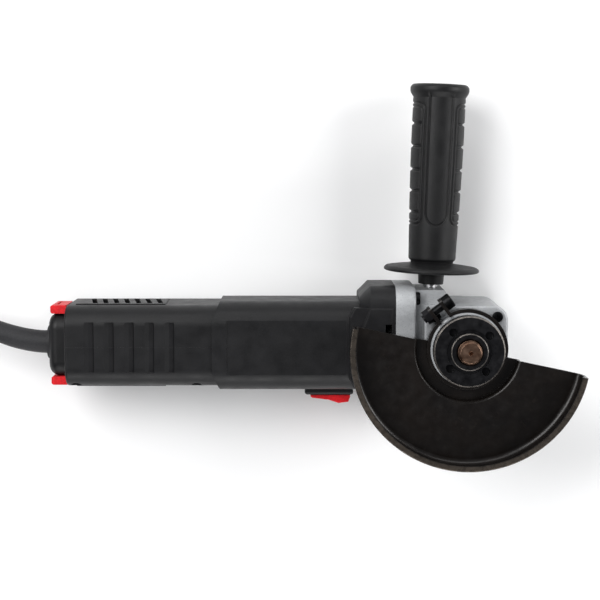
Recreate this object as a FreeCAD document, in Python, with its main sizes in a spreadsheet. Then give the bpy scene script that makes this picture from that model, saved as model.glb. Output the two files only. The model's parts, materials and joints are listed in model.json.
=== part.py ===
"""Angle grinder, 125 mm class, as a parametric document of separate pieces.

The tool lies on its back. The spindle axis is Z with the nose up, the motor axis is X with the
gear head at the +X end, and the side handle stands out along +Y. All pieces are drawn about the
point where the motor axis crosses the spindle axis, and their Placement lifts that point above
the back face of the gear case, which is the surface that the tool rests on.
"""

import FreeCAD, Part
import math
import os

import Sketcher

# Driving dimensions in mm and degrees: (alias, value). Levels are measured along Z from the motor axis.
DIMENSIONS = (
    ("axis_height", 33.0),
    # spindle line
    ("case_seat_level", 21.0),
    ("flange_level", 27.0),
    ("neck_level", 36.0),
    ("neck_radius", 22.0),
    ("head_half", 25.0),
    ("head_corner", 9.0),
    ("cavity_radius", 22.0),
    ("cavity_floor", -20.0),
    ("flange_screw_place", 18.5),
    ("nose_radius", 7.0),
    ("nose_level", 52.5),
    ("nose_end_low", 48.5),
    ("nose_end_radius", 6.8),
    ("running_gap", 0.04),
    ("bearing_low", 13.5),
    ("bearing_high", 23.5),
    ("bearing_bore", 6.0),
    ("bearing_outer", 16.0),
    ("bush_low", -31.0),
    ("bush_bore", 3.5),
    ("bush_outer", 5.2),
    ("seal_low", 29.0),
    ("seal_high", 34.0),
    ("seal_outer", 13.0),
    ("shoulder_radius", 8.5),
    ("inner_flange_low", 36.4),
    ("inner_flange_high", 41.0),
    ("disc_flange_radius", 21.0),
    ("pilot_radius", 11.1),
    ("locknut_high", 46.5),
    ("locknut_boss_level", 48.2),
    ("locknut_boss_radius", 11.0),
    ("locknut_hole_radius", 2.5),
    ("locknut_hole_place", 15.0),
    # gear pair
    ("gear_radius", 20.35),
    ("pinion_radius", 6.6),
    ("gear_hub_radius", 8.4),
    ("gear_top", 12.8),
    ("pinion_bore", 2.75),
    ("lock_pin_place", 11.2),
    ("lock_pin_radius", 1.5),
    # gear case
    ("band_front", -30.0),
    ("band_rear", -42.0),
    ("collar_half", 36.3),
    ("collar_half_height", 30.5),
    ("collar_corner", 12.0),
    ("boss_front", -12.5),
    ("boss_half", 33.7),
    ("boss_low", -18.9),
    ("boss_high", 18.9),
    ("handle_place", -19.1),
    ("handle_lean", 2.2),
    ("handle_thread_radius", 4.0),
    ("handle_socket_depth", 12.0),
    ("lock_step", 4.0),
    ("lock_step_place", 3.5),
    ("lock_well_radius", 5.0),
    ("lock_well_floor", -22.5),
    ("lock_button_radius", 4.6),
    # motor housing
    ("collar_rear", -63.4),
    ("barrel_rear", -151.5),
    ("seam_shoulder", 4.5),
    ("seam_half", 15.5),
    ("barrel_half", 26.8),
    ("barrel_half_height", 29.0),
    ("barrel_corner", 14.0),
    ("motor_bore", 24.6),
    ("fan_chamber", 26.2),
    ("rear_wall", -140.5),
    ("boot_radius", 11.2),
    ("wall", 2.3),
    # motor
    ("core_front", -81.0),
    ("core_rear", -119.0),
    ("core_radius", 15.0),
    ("stator_bore", 15.6),
    ("stator_radius", 24.4),
    ("stator_flat", 20.2),
    ("shaft_radius", 5.0),
    ("front_bearing_front", -33.0),
    ("front_bearing_rear", -41.0),
    ("front_bearing_outer", 13.0),
    ("rear_bearing_front", -142.5),
    ("rear_bearing_rear", -148.5),
    ("rear_bearing_bore", 3.5),
    ("rear_bearing_outer", 9.5),
    ("commutator_front", -127.0),
    ("commutator_rear", -138.6),
    ("commutator_radius", 10.0),
    ("fan_radius", 24.8),
    ("fan_front", -47.0),
    ("fan_rear", -60.0),
    ("brush_place", -132.8),
    ("brush_length", 10.0),
    # rear housing
    ("shell_rear", -239.5),
    ("shell_half", 24.4),
    ("shell_top", 27.5),
    ("shell_corner", 12.0),
    ("groove_width", 6.0),
    ("groove_half", 15.0),
    ("groove_depth", 1.3),
    ("groove_first", -173.7),
    ("groove_pitch", 12.0),
    ("grille_front", -180.0),
    ("grille_rear", -234.0),
    ("grille_half", 15.0),
    ("cap_rear", -250.5),
    ("cap_half", 19.0),
    ("sleeve_radius", 7.0),
    # switch
    ("slider_front", -68.2),
    ("slider_rear", -92.5),
    ("slider_face", 37.0),
    ("bump_face", 31.5),
    ("bump_front", -66.5),
    ("bump_rear", -96.0),
    ("bump_half", 10.0),
    # guard
    ("guard_radius", 70.0),
    ("guard_sheet", 1.7),
    ("guard_low", 37.0),
    ("guard_high", 53.0),
    ("guard_recess_radius", 31.8),
    ("guard_recess_low", 31.0),
    ("guard_lip", 3.6),
    ("guard_turn", 168.0),
    ("band_thickness", 2.0),
    ("band_low", 29.6),
    ("clamp_azimuth", 127.0),
    ("clamp_screw_place", 29.6),
    ("clamp_screw_level", 34.2),
    ("clamp_screw_radius", 2.5),
    ("clamp_head_radius", 4.5),
    ("ear_gap_half", 3.0),
    ("ear_thickness", 2.0),
    # side handle, measured from the boss face outwards
    ("stud_gap", 2.0),
    ("stub_length", 7.5),
    ("stub_radius", 8.2),
    ("guard_disc_radius", 29.2),
    ("guard_disc_thickness", 3.2),
    ("grip_start", 17.0),
    ("grip_length", 105.8),
    ("grip_base_radius", 14.4),
    ("grip_radius", 15.9),
    ("grip_flare_radius", 17.8),
    # cord
    ("cord_radius", 4.0),
    ("coil_radius", 44.0),
    ("coil_thickness", 12.8),
    ("coil_x", -352.7),
    ("coil_y", 98.6),
    ("coil_outer_turn", 52.0),
    ("plug_half_height", 13.5),
    ("plug_half_width", 18.5),
    ("plug_grommet_start", 128.0),
    ("plug_start", 154.0),
    ("plug_end", 196.0),
    ("plug_pin_spacing", 19.0),
    ("plug_pin_radius", 2.4),
)

TOLERANCE = 1e-4

doc = FreeCAD.newDocument("angle_grinder")
sheet = doc.addObject("Spreadsheet::Sheet", "Sizes")
PARTS = []


class Size:
    """A length in mm together with the sheet expression that drives it."""

    def __init__(self, value, text):
        self.value = value
        self.text = text

    def __add__(self, other):
        other = as_size(other)
        return Size(self.value + other.value, f"({self.text} + {other.text})")

    def __sub__(self, other):
        other = as_size(other)
        return Size(self.value - other.value, f"({self.text} - {other.text})")

    def __mul__(self, other):
        other = as_size(other)
        return Size(self.value * other.value, f"({self.text} * {other.text})")

    def __truediv__(self, other):
        other = as_size(other)
        return Size(self.value / other.value, f"({self.text} / {other.text})")

    def __radd__(self, other):
        return as_size(other) + self

    def __rsub__(self, other):
        return as_size(other) - self

    def __rmul__(self, other):
        return as_size(other) * self

    def __neg__(self):
        return Size(-self.value, f"(-{self.text})")


def as_size(item):
    return item if isinstance(item, Size) else Size(float(item), f"({float(item):g})")


class Sizes:
    """The sheet's aliases as attributes."""


def fill_sheet():
    sizes = Sizes()
    for row, (alias, value) in enumerate(DIMENSIONS, start=1):
        sheet.set(f"A{row}", alias)
        sheet.set(f"B{row}", f"{value}")
        sheet.setAlias(f"B{row}", alias)
        setattr(sizes, alias, Size(value, f"Sizes.{alias}"))
    doc.recompute()
    return sizes


d = fill_sheet()
floor_level = -d.axis_height


# Sketches and features


def keep(piece, label):
    """Registers a finished piece under its node name and lifts it to its place."""
    piece.Label = label
    piece.setExpression(".Placement.Base.z", d.axis_height.text)
    PARTS.append(piece)
    return piece


def new_body(label):
    body = doc.addObject("PartDesign::Body", label)
    return keep(body, label)


def polygon(*corners):
    return ("polygon", [(as_size(x), as_size(y)) for x, y in corners])


def rectangle(x_low, x_high, y_low, y_high):
    return polygon((x_low, y_low), (x_high, y_low), (x_high, y_high), (x_low, y_high))


def rounded(x_low, x_high, y_low, y_high, radius):
    return ("rounded", [as_size(item) for item in (x_low, x_high, y_low, y_high, radius)])


def circle(x, y, radius):
    return ("circle", (as_size(x), as_size(y), as_size(radius)))


def bind(sketch, constraint, size):
    sketch.setExpression(f"Constraints[{constraint}]", size.text)


def draw_rounded(sketch, limits):
    """A rectangle with four equal corner arcs, drawn anticlockwise from its bottom line."""
    x_low, x_high, y_low, y_high, radius = limits
    left, right, low, high, turn = (item.value for item in limits)
    first = sketch.GeometryCount
    corners = ((right, low, 1, -1), (right, high, 1, 1), (left, high, -1, 1), (left, low, -1, -1))
    centres = [FreeCAD.Vector(x - turn * to_x, y - turn * to_y, 0) for x, y, to_x, to_y in corners]
    arcs = [
        Part.ArcOfCircle(Part.Circle(centre, FreeCAD.Vector(0, 0, 1), turn),
                         math.pi / 2 * (k - 1), math.pi / 2 * k)
        for k, centre in enumerate(centres)
    ]
    geometry = []
    for k, arc in enumerate(arcs):
        geometry.append(Part.LineSegment(arcs[k - 1].EndPoint, arc.StartPoint))
        geometry.append(arc)
    sketch.addGeometry(geometry, False)
    joints = [
        Sketcher.Constraint("Tangent", first + k, 2, first + (k + 1) % 8, 1) for k in range(8)
    ]
    flat = [Sketcher.Constraint("Horizontal", first), Sketcher.Constraint("Horizontal", first + 4)]
    upright = [Sketcher.Constraint("Vertical", first + 2), Sketcher.Constraint("Vertical", first + 6)]
    equal = [Sketcher.Constraint("Equal", first + 1, first + k) for k in (3, 5, 7)]
    sketch.addConstraint(joints + flat + upright + equal)
    made = sketch.addConstraint([
        Sketcher.Constraint("Radius", first + 1, turn),
        Sketcher.Constraint("DistanceY", -1, 1, first, 1, low),
        Sketcher.Constraint("DistanceY", -1, 1, first + 4, 1, high),
        Sketcher.Constraint("DistanceX", -1, 1, first + 2, 1, right),
        Sketcher.Constraint("DistanceX", -1, 1, first + 6, 1, left),
    ])
    for constraint, size in zip(made, (radius, y_low, y_high, x_high, x_low)):
        bind(sketch, constraint, size)


def draw(sketch, outline):
    """Adds one closed outline whose corners, or centre and radius, follow the sheet."""
    kind, content = outline
    first = sketch.GeometryCount
    if kind == "rounded":
        draw_rounded(sketch, content)
        return
    if kind == "circle":
        x, y, radius = content
        centre = FreeCAD.Vector(x.value, y.value, 0)
        sketch.addGeometry(Part.Circle(centre, FreeCAD.Vector(0, 0, 1), radius.value), False)
        made = sketch.addConstraint([
            Sketcher.Constraint("Radius", first, radius.value),
            Sketcher.Constraint("DistanceX", -1, 1, first, 3, x.value),
            Sketcher.Constraint("DistanceY", -1, 1, first, 3, y.value),
        ])
        for constraint, size in zip(made, (radius, x, y)):
            bind(sketch, constraint, size)
        return
    count = len(content)
    points = [FreeCAD.Vector(x.value, y.value, 0) for x, y in content]
    lines = [Part.LineSegment(points[k], points[(k + 1) % count]) for k in range(count)]
    sketch.addGeometry(lines, False)
    sketch.addConstraint([
        Sketcher.Constraint("Coincident", first + k, 2, first + (k + 1) % count, 1) for k in range(count)
    ])
    for direction, index in (("DistanceX", 0), ("DistanceY", 1)):
        made = sketch.addConstraint([
            Sketcher.Constraint(direction, -1, 1, first + k, 1, content[k][index].value) for k in range(count)
        ])
        for constraint, corner in zip(made, content):
            bind(sketch, constraint, corner[index])


def origin_feature(body, role):
    return next(item for item in body.Origin.OriginFeatures if item.Role == role)


def new_sketch(body, plane, outlines, offset=0.0):
    sketch = body.newObject("Sketcher::SketchObject", f"{body.Name}_sketch")
    sketch.AttachmentSupport = [(origin_feature(body, plane), "")]
    sketch.MapMode = "FlatFace"
    sketch.setExpression(".AttachmentOffset.Base.z", as_size(offset).text)
    for outline in outlines:
        draw(sketch, outline)
    return sketch


def extrude(body, axis, low, high, *outlines, cut=False):
    """Pads or pockets outlines from low to high along an axis.

    Outlines are drawn as (y, z) for X, (x, z) for Y and (x, y) for Z. The XZ plane faces -Y.
    """
    low, high = as_size(low), as_size(high)
    plane = {"X": "YZ_Plane", "Y": "XZ_Plane", "Z": "XY_Plane"}[axis]
    offset = -high if axis == "Y" else low
    sketch = new_sketch(body, plane, outlines, offset)
    feature = body.newObject("PartDesign::Pocket" if cut else "PartDesign::Pad", f"{body.Name}_feature")
    feature.Profile = sketch
    feature.Reversed = cut
    feature.setExpression("Length", (high - low).text)
    sketch.Visibility = False
    return feature


def revolve(body, axis, *outlines, cut=False, angle=360.0):
    """Turns outlines about X, drawn as (x, radius), or about Z, drawn as (radius, z)."""
    sketch = new_sketch(body, "XZ_Plane", outlines)
    feature = body.newObject("PartDesign::Groove" if cut else "PartDesign::Revolution", f"{body.Name}_turned")
    feature.Profile = sketch
    feature.ReferenceAxis = (sketch, ["H_Axis" if axis == "X" else "V_Axis"])
    feature.Angle = angle
    sketch.Visibility = False
    return feature


def repeat_round(body, feature, axis, count):
    """Repeats a feature evenly about one of the body's own axes."""
    pattern = body.newObject("PartDesign::PolarPattern", f"{body.Name}_pattern")
    pattern.Originals = [feature]
    pattern.Axis = (origin_feature(body, f"{axis}_Axis"), [""])
    pattern.Angle = 360.0
    pattern.Occurrences = count
    body.Tip = pattern
    return pattern


def runs_along(edge, axis):
    """True for a straight edge parallel to the axis."""
    if len(edge.Vertexes) != 2 or not isinstance(edge.Curve, Part.Line):
        return False
    step = edge.Vertexes[1].Point - edge.Vertexes[0].Point
    return abs(abs(step["XYZ".index(axis)]) - step.Length) < TOLERANCE


def lies_at(edge, axis, level):
    """True for an edge that lies in the plane where the axis reads level."""
    points = edge.discretize(5)
    index = "XYZ".index(axis)
    return all(abs(point[index] - as_size(level).value) < 1e-3 for point in points)


def middle(edge):
    return edge.valueAt((edge.FirstParameter + edge.LastParameter) / 2)


def soften(body, radius, chosen, kind="Fillet"):
    """Fillets, or chamfers, the edges of the piece as it stands that the test chooses."""
    doc.recompute()
    base = body.Tip
    names = [f"Edge{k}" for k, edge in enumerate(base.Shape.Edges, start=1) if chosen(edge)]
    if not names:
        raise ValueError(f"{body.Label}: no edge to {kind.lower()}")
    feature = body.newObject(f"PartDesign::{kind}", f"{body.Name}_{kind.lower()}")
    feature.Base = (base, names)
    feature.setExpression("Radius" if kind == "Fillet" else "Size", as_size(radius).text)
    doc.recompute()
    if not feature.Shape.isValid() or feature.Shape.isNull():
        raise ValueError(f"{body.Label}: {kind.lower()} failed")
    return feature


def plain_feature(label, shape):
    """A piece whose shape is worked out here because no feature makes it."""
    piece = doc.addObject("Part::Feature", label)
    piece.Shape = shape
    return keep(piece, label)


def join(shapes):
    joined = shapes[0].fuse(shapes[1:])
    return joined.removeSplitter()


# Gear head


def make_gear_case():
    """The cast head: a rounded block, two handle bosses and the band that meets the motor housing."""
    body = new_body("gear_case")
    extrude(body, "Z", floor_level, d.case_seat_level,
            rectangle(d.band_front - 2, d.head_half, -d.head_half, d.head_half))
    soften(body, d.head_corner, lambda e: runs_along(e, "Z") and middle(e).x > 0)
    extrude(body, "Z", d.boss_low, d.boss_high,
            polygon((d.band_rear, -d.boss_half), (d.boss_front, -d.boss_half), (-6, -24), (-6, 24),
                    (d.boss_front, d.boss_half), (d.band_rear, d.boss_half)))
    extrude(body, "X", d.band_rear, d.band_front,
            rounded(-d.collar_half, d.collar_half, -d.collar_half_height, d.collar_half_height,
                    d.collar_corner))
    soften(body, 1.6, lambda e: lies_at(e, "X", d.band_front) and
           (abs(middle(e).y) > 34.2 or abs(middle(e).z) > 28) and not runs_along(e, "Z"))
    extrude(body, "Z", floor_level, floor_level + d.lock_step,
            rectangle(d.lock_step_place, d.head_half + 5, -d.head_half - 5, d.head_half + 5), cut=True)
    revolve(body, "Z", rectangle(0, d.cavity_radius, d.cavity_floor, d.case_seat_level + 1), cut=True)
    revolve(body, "Z", rectangle(0, d.bush_outer + d.running_gap, d.bush_low, d.cavity_floor + 1), cut=True)
    revolve(body, "X", rectangle(d.band_rear - 1, d.front_bearing_front, 0,
                                 d.front_bearing_outer + d.running_gap), cut=True)
    revolve(body, "X", rectangle(d.band_rear, -d.cavity_radius + 8, 0, 9), cut=True)
    well = circle(d.lock_pin_place, 0, d.lock_well_radius)
    extrude(body, "Z", floor_level - 1, d.lock_well_floor, well, cut=True)
    guide = circle(d.lock_pin_place, 0, d.lock_pin_radius + d.running_gap)
    extrude(body, "Z", d.lock_well_floor - 1, d.cavity_floor + 1, guide, cut=True)
    place = d.flange_screw_place
    holes = [circle(x, y, 1.7) for x in (-place, place) for y in (-place, place)]
    extrude(body, "Z", d.case_seat_level - 14, d.case_seat_level + 1, *holes, cut=True)
    corners = [circle(y, z, 2.3) for y in (-29, 29) for z in (-23, 23)]
    extrude(body, "X", d.band_rear - 1, d.band_front + 1, *corners, cut=True)
    for side in (1, -1):
        handle_socket(body, side)
    return body


def handle_socket(body, side):
    """A threaded hole, drawn plain, that leans towards the nose of the gear head by the handle's angle."""
    beyond = 1.0 if side > 0 else -d.handle_socket_depth.value
    start = -side * (d.boss_half + beyond)
    place = d.handle_place + beyond * math.tan(math.radians(d.handle_lean.value))
    sketch = body.newObject("Sketcher::SketchObject", f"{body.Name}_sketch")
    sketch.AttachmentSupport = [(origin_feature(body, "XZ_Plane"), "")]
    sketch.MapMode = "FlatFace"
    lean = FreeCAD.Rotation(FreeCAD.Vector(0, 1, 0), -side * d.handle_lean.value)
    sketch.AttachmentOffset = FreeCAD.Placement(FreeCAD.Vector(0, 0, 0), lean)
    sketch.setExpression(".AttachmentOffset.Base.z", start.text)
    sketch.setExpression(".AttachmentOffset.Base.x", place.text)
    draw(sketch, circle(0, 0, d.handle_thread_radius + d.running_gap))
    pocket = body.newObject("PartDesign::Pocket", f"{body.Name}_socket")
    pocket.Profile = sketch
    pocket.Reversed = True
    pocket.setExpression("Length", (d.handle_socket_depth + 1.5).text)
    sketch.Visibility = False


def make_bearing_flange():
    """The cast cover over the gears, with the round neck that carries the guard."""
    body = new_body("bearing_flange")
    extrude(body, "Z", d.case_seat_level, d.flange_level,
            rectangle(-d.head_half, d.head_half, -d.head_half, d.head_half))
    soften(body, d.head_corner, lambda e: runs_along(e, "Z"))
    soften(body, 1.5, lambda e: lies_at(e, "Z", d.flange_level))
    revolve(body, "Z", rectangle(0, d.cavity_radius - 0.1, d.bearing_low - 1.5, d.flange_level))
    revolve(body, "Z", rectangle(0, d.neck_radius, d.flange_level - 1, d.neck_level))
    soften(body, 0.8, lambda e: lies_at(e, "Z", d.neck_level), "Chamfer")
    gap = d.running_gap
    revolve(body, "Z", rectangle(0, d.bearing_outer + gap, d.bearing_low - 3, d.bearing_high), cut=True)
    revolve(body, "Z", rectangle(0, d.shoulder_radius + 0.6, d.bearing_low, d.neck_level + 1), cut=True)
    revolve(body, "Z", rectangle(0, d.seal_outer + gap, d.seal_low, d.neck_level + 1), cut=True)
    place = d.flange_screw_place
    holes = [circle(x, y, 2.2) for x in (-place, place) for y in (-place, place)]
    extrude(body, "Z", d.case_seat_level - 1, d.flange_level + 1, *holes, cut=True)


def screw_shape(x, y, seat, length, radius, head_radius, head_height):
    """A pan-head screw with a cross recess, pointing down from its seat."""
    centre = FreeCAD.Vector(x, y, seat)
    up = FreeCAD.Vector(0, 0, 1)
    head = Part.makeCylinder(head_radius, head_height, centre, up)
    head = head.makeFillet(head_height * 0.4, [head.Edges[0]])
    shank = Part.makeCylinder(radius, length, centre - up * length, up)
    slot, reach = head_radius * 0.28, head_radius * 1.1
    top = seat + head_height * 0.45
    cross = Part.makeBox(reach, slot, head_height, FreeCAD.Vector(x - reach / 2, y - slot / 2, top)).fuse(
        Part.makeBox(slot, reach, head_height, FreeCAD.Vector(x - slot / 2, y - reach / 2, top)))
    return head.fuse(shank).cut(cross).removeSplitter()


def make_flange_screws():
    place = d.flange_screw_place.value
    screws = [
        screw_shape(x, y, d.flange_level.value + 0.02, 17, 1.65, 3.2, 2.2)
        for x in (-place, place) for y in (-place, place)
    ]
    plain_feature("flange_screws", Part.makeCompound(screws))


def make_gear_case_screws():
    """Four long screws along the motor axis that hold the gear case to the motor housing."""
    turn = FreeCAD.Placement(FreeCAD.Vector(0, 0, 0), FreeCAD.Rotation(FreeCAD.Vector(0, 1, 0), 90))
    screws = []
    for y in (-29, 29):
        for z in (-23, 23):
            screw = screw_shape(0, 0, 0, 26, 2.1, 3.9, 2.8)
            screw.Placement = FreeCAD.Placement(FreeCAD.Vector(d.band_front.value + 0.02, y, z),
                                                turn.Rotation)
            screws.append(screw)
    plain_feature("gear_case_screws", Part.makeCompound(screws))


def make_ring(label, axis, low, high, inner, outer):
    body = new_body(label)
    outline = rectangle(inner, outer, low, high) if axis == "Z" else rectangle(low, high, inner, outer)
    revolve(body, axis, outline)
    return body


def make_bearing(label, axis, low, high, inner, outer):
    """A shielded ball bearing drawn as one ring, with the shield grooves sunk in both faces."""
    body = make_ring(label, axis, low, high, inner, outer)
    shield_in, shield_out = inner + (outer - inner) * 0.32, inner + (outer - inner) * 0.7
    for near, far in ((low - 1, low + 0.6), (high - 0.6, high + 1)):
        groove = (rectangle(shield_in, shield_out, near, far) if axis == "Z"
                  else rectangle(near, far, shield_in, shield_out))
        revolve(body, axis, groove, cut=True)


def make_spindle():
    """The output spindle, from its bush end up to the threaded nose."""
    body = new_body("spindle")
    journal, seat = d.bush_bore - d.running_gap, d.bearing_bore - d.running_gap
    revolve(body, "Z", polygon(
        (0, d.bush_low + 1), (journal, d.bush_low + 1), (journal, d.cavity_floor + 0.5),
        (5, d.cavity_floor + 0.5), (5, 3.0), (seat, 3.0), (seat, d.bearing_high + 0.5),
        (d.shoulder_radius, d.bearing_high + 0.5), (d.shoulder_radius, d.inner_flange_low),
        (d.nose_radius, d.inner_flange_low), (d.nose_radius, d.nose_end_low),
        (d.nose_end_radius, d.nose_end_low), (d.nose_end_radius, d.nose_level - 0.9),
        (d.nose_end_radius - 0.9, d.nose_level), (1.3, d.nose_level), (0, d.nose_level - 2.2)))


def tooth_wedge(pitch_radius, mate_radius, face, module, thickness):
    """One straight bevel tooth over +X: two similar trapezoids that shrink towards the apex."""
    distance = math.hypot(pitch_radius, mate_radius)
    along = FreeCAD.Vector(pitch_radius / distance, 0, mate_radius / distance)
    outwards = FreeCAD.Vector(mate_radius / distance, 0, -pitch_radius / distance)
    flank = math.tan(math.radians(20))
    tip, root = 0.72 * module, -1.25 * module
    half_tip, half_root = thickness / 2 - tip * flank, thickness / 2 - root * flank
    wires = []
    for scale in (1.0, (distance - face) / distance):
        centre = along * (distance * scale)
        corners = [
            centre + outwards * (height * scale) + FreeCAD.Vector(0, half * side * scale, 0)
            for height, half, side in (
                (root, half_root, -1), (root, half_root, 1), (tip, half_tip, 1), (tip, half_tip, -1))
        ]
        wires.append(Part.makePolygon(corners + corners[:1]))
    return Part.makeLoft(wires, True, True)


def bevel_teeth(pitch_radius, mate_radius, face, module, count, thickness):
    tooth = tooth_wedge(pitch_radius, mate_radius, face, module, thickness)
    teeth = []
    for k in range(count):
        copy = tooth.copy()
        copy.rotate(FreeCAD.Vector(0, 0, 0), FreeCAD.Vector(0, 0, 1), 360.0 * k / count)
        teeth.append(copy)
    return teeth


def turned(points):
    """A solid of revolution about Z from a closed outline of (radius, z)."""
    corners = [FreeCAD.Vector(radius, 0, z) for radius, z in points]
    face = Part.Face(Part.makePolygon(corners + corners[:1]))
    return face.revolve(FreeCAD.Vector(0, 0, 0), FreeCAD.Vector(0, 0, 1), 360)


GEAR_TEETH = 37
PINION_TEETH = 12
TOOTH_FACE = 6.5
TOOTH_SHARE = 0.42  # tooth thickness as a share of the pitch, which leaves backlash
ROOT_DEPTH = 0.95  # root cone depth in modules


def cone_point(radius, mate, depth, scale):
    """A point (radius, z) at a depth under the pitch cone, at a share of the cone distance."""
    distance = math.hypot(radius, mate)
    return ((radius - depth * mate / distance) * scale, (mate + depth * radius / distance) * scale)


def make_bevel_gear():
    """The large bevel gear, teeth towards the motor axis, with six holes for the lock pin."""
    radius, mate = d.gear_radius.value, d.pinion_radius.value
    module = 2 * radius / GEAR_TEETH
    inner = (math.hypot(radius, mate) - TOOTH_FACE) / math.hypot(radius, mate)
    outer_root = cone_point(radius, mate, ROOT_DEPTH * module, 1.0)
    inner_root = cone_point(radius, mate, ROOT_DEPTH * module, inner)
    bore, hub, top = d.bearing_bore.value + 0.02, d.gear_hub_radius.value, d.gear_top.value
    blank = turned([
        (bore, 4.4), (hub, 4.4), (hub + 0.6, inner_root[1] + 0.2), inner_root, outer_root,
        (radius + 0.4, outer_root[1] + 0.8), (radius + 0.4, outer_root[1] + 3.0),
        (14.0, top - 1.5), (hub + 1.5, top), (bore, top)])
    teeth = bevel_teeth(radius, mate, TOOTH_FACE, module, GEAR_TEETH, math.pi * module * TOOTH_SHARE)
    gear = join([blank] + teeth)
    hole_radius = d.lock_pin_radius.value + 0.4
    for k in range(6):
        turn = math.radians(60 * k)
        centre = FreeCAD.Vector(math.cos(turn), math.sin(turn), 0) * d.lock_pin_place.value
        gear = gear.cut(Part.makeCylinder(hole_radius, 9.5, centre))
    plain_feature("bevel_gear", gear)


def make_pinion():
    """The small bevel gear on the armature shaft, with a short hub behind its teeth."""
    radius, mate = d.pinion_radius.value, d.gear_radius.value
    module = 2 * radius / PINION_TEETH
    inner = (math.hypot(radius, mate) - TOOTH_FACE) / math.hypot(radius, mate)
    outer_root = cone_point(radius, mate, ROOT_DEPTH * module, 1.0)
    inner_root = cone_point(radius, mate, ROOT_DEPTH * module, inner)
    bore = d.pinion_bore.value
    blank = turned([
        (bore, inner_root[1]), inner_root, outer_root, (5.2, outer_root[1] + 0.2), (5.2, 30.0), (bore, 30.0)])
    teeth = bevel_teeth(radius, mate, TOOTH_FACE, module, PINION_TEETH, math.pi * module * TOOTH_SHARE)
    pinion = join([blank] + teeth)
    pinion.rotate(FreeCAD.Vector(0, 0, 0), FreeCAD.Vector(0, 1, 0), -90)
    plain_feature("pinion", pinion)


def make_inner_flange():
    body = new_body("inner_flange")
    bore = d.nose_radius + 0.02
    revolve(body, "Z", polygon(
        (bore, d.inner_flange_low), (14, d.inner_flange_low), (d.disc_flange_radius, d.inner_flange_low + 2.2),
        (d.disc_flange_radius, d.inner_flange_high), (16, d.inner_flange_high),
        (16, d.inner_flange_high - 0.6), (d.pilot_radius, d.inner_flange_high - 0.6),
        (d.pilot_radius, d.inner_flange_high + 1.2), (bore, d.inner_flange_high + 1.2)))


def make_locknut():
    """The round clamping nut with four spanner holes and a raised boss."""
    body = new_body("locknut")
    low, high, boss = d.inner_flange_high + 0.05, d.locknut_high, d.locknut_boss_level
    bore = d.nose_radius + d.running_gap
    revolve(body, "Z", polygon(
        (bore, low + 1.6), (d.pilot_radius + 0.5, low + 1.6), (d.pilot_radius + 0.5, low),
        (d.disc_flange_radius, low), (d.disc_flange_radius, high - 0.7), (d.disc_flange_radius - 0.7, high),
        (d.locknut_boss_radius + 2.1, high), (d.locknut_boss_radius + 2.1, high - 0.7),
        (d.locknut_boss_radius, high - 0.7), (d.locknut_boss_radius, boss - 0.5),
        (d.locknut_boss_radius - 0.5, boss), (bore + 1, boss), (bore, boss - 1)))
    place = d.locknut_hole_place
    turn = math.radians(40)
    first = circle(place * math.cos(turn), place * math.sin(turn), d.locknut_hole_radius)
    hole = extrude(body, "Z", high - 3.6, high + 1, first, cut=True)
    repeat_round(body, hole, "Z", 4)


def make_lock_button():
    """The spindle lock: a push button whose pin reaches a hole in the bevel gear."""
    body = new_body("lock_button")
    face = floor_level + 1
    extrude(body, "Z", face, face + 4.5, circle(d.lock_pin_place, 0, d.lock_button_radius))
    soften(body, 0.8, lambda e: lies_at(e, "Z", face))
    extrude(body, "Z", face + 4, 3.8, circle(d.lock_pin_place, 0, d.lock_pin_radius))
    soften(body, 0.4, lambda e: lies_at(e, "Z", 3.8), "Chamfer")


SPRING_STEPS = 16  # straight steps to one turn of spring wire


def helix_spring(label, x, low, high, radius, wire, turns):
    """A compression spring along Z: a round wire that climbs round a helix in short straight steps."""
    pitch = (high - low - 2 * wire) / turns
    points = []
    for k in range(round(turns * SPRING_STEPS) + 1):
        turn = 2 * math.pi * k / SPRING_STEPS
        points.append(FreeCAD.Vector(radius * math.cos(turn), radius * math.sin(turn), pitch * k / SPRING_STEPS))
    section = Part.Wire(Part.makeCircle(wire, points[0], points[1] - points[0]))
    coil = Part.makePolygon(points).makePipeShell([section], True, False, 1)
    spring = plain_feature(label, coil)
    spring.Placement.Base.x = x
    spring.setExpression(".Placement.Base.z", (d.axis_height + low + wire).text)


# Motor


def make_armature_shaft():
    body = new_body("armature_shaft")
    journal, end = d.shaft_radius, d.rear_bearing_bore - d.running_gap
    revolve(body, "X", polygon(
        (d.rear_bearing_rear - 1, 0), (-10.6, 0), (-10.6, d.pinion_bore - 0.02), (-30, d.pinion_bore - 0.02),
        (-30, journal - d.running_gap), (d.front_bearing_rear, journal - d.running_gap),
        (d.front_bearing_rear, journal), (d.rear_bearing_front + 0.3, journal),
        (d.rear_bearing_front + 0.3, end), (d.rear_bearing_rear - 1, end)))


def make_pinion_nut():
    body = new_body("pinion_nut")
    extrude(body, "X", -13.8, -11.0, hexagon(4.4), circle(0, 0, d.pinion_bore))


def hexagon(across_corner, x=0.0, y=0.0):
    """A regular hexagon by its corner radius."""
    return polygon(*[
        (x + across_corner * math.cos(math.radians(60 * k)), y + across_corner * math.sin(math.radians(60 * k)))
        for k in range(6)
    ])


def make_armature_core():
    """The laminated core with twelve winding slots."""
    body = new_body("armature_core")
    extrude(body, "X", d.core_rear, d.core_front, circle(0, 0, d.core_radius), circle(0, 0, d.shaft_radius))
    slot = extrude(body, "X", d.core_rear - 1, d.core_front + 1,
                   polygon((-1, 20), (-1, 14), (-1.9, 13.4), (-1.2, 9.2), (1.2, 9.2), (1.9, 13.4),
                           (1, 14), (1, 20)), cut=True)
    repeat_round(body, slot, "X", 12)


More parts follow.
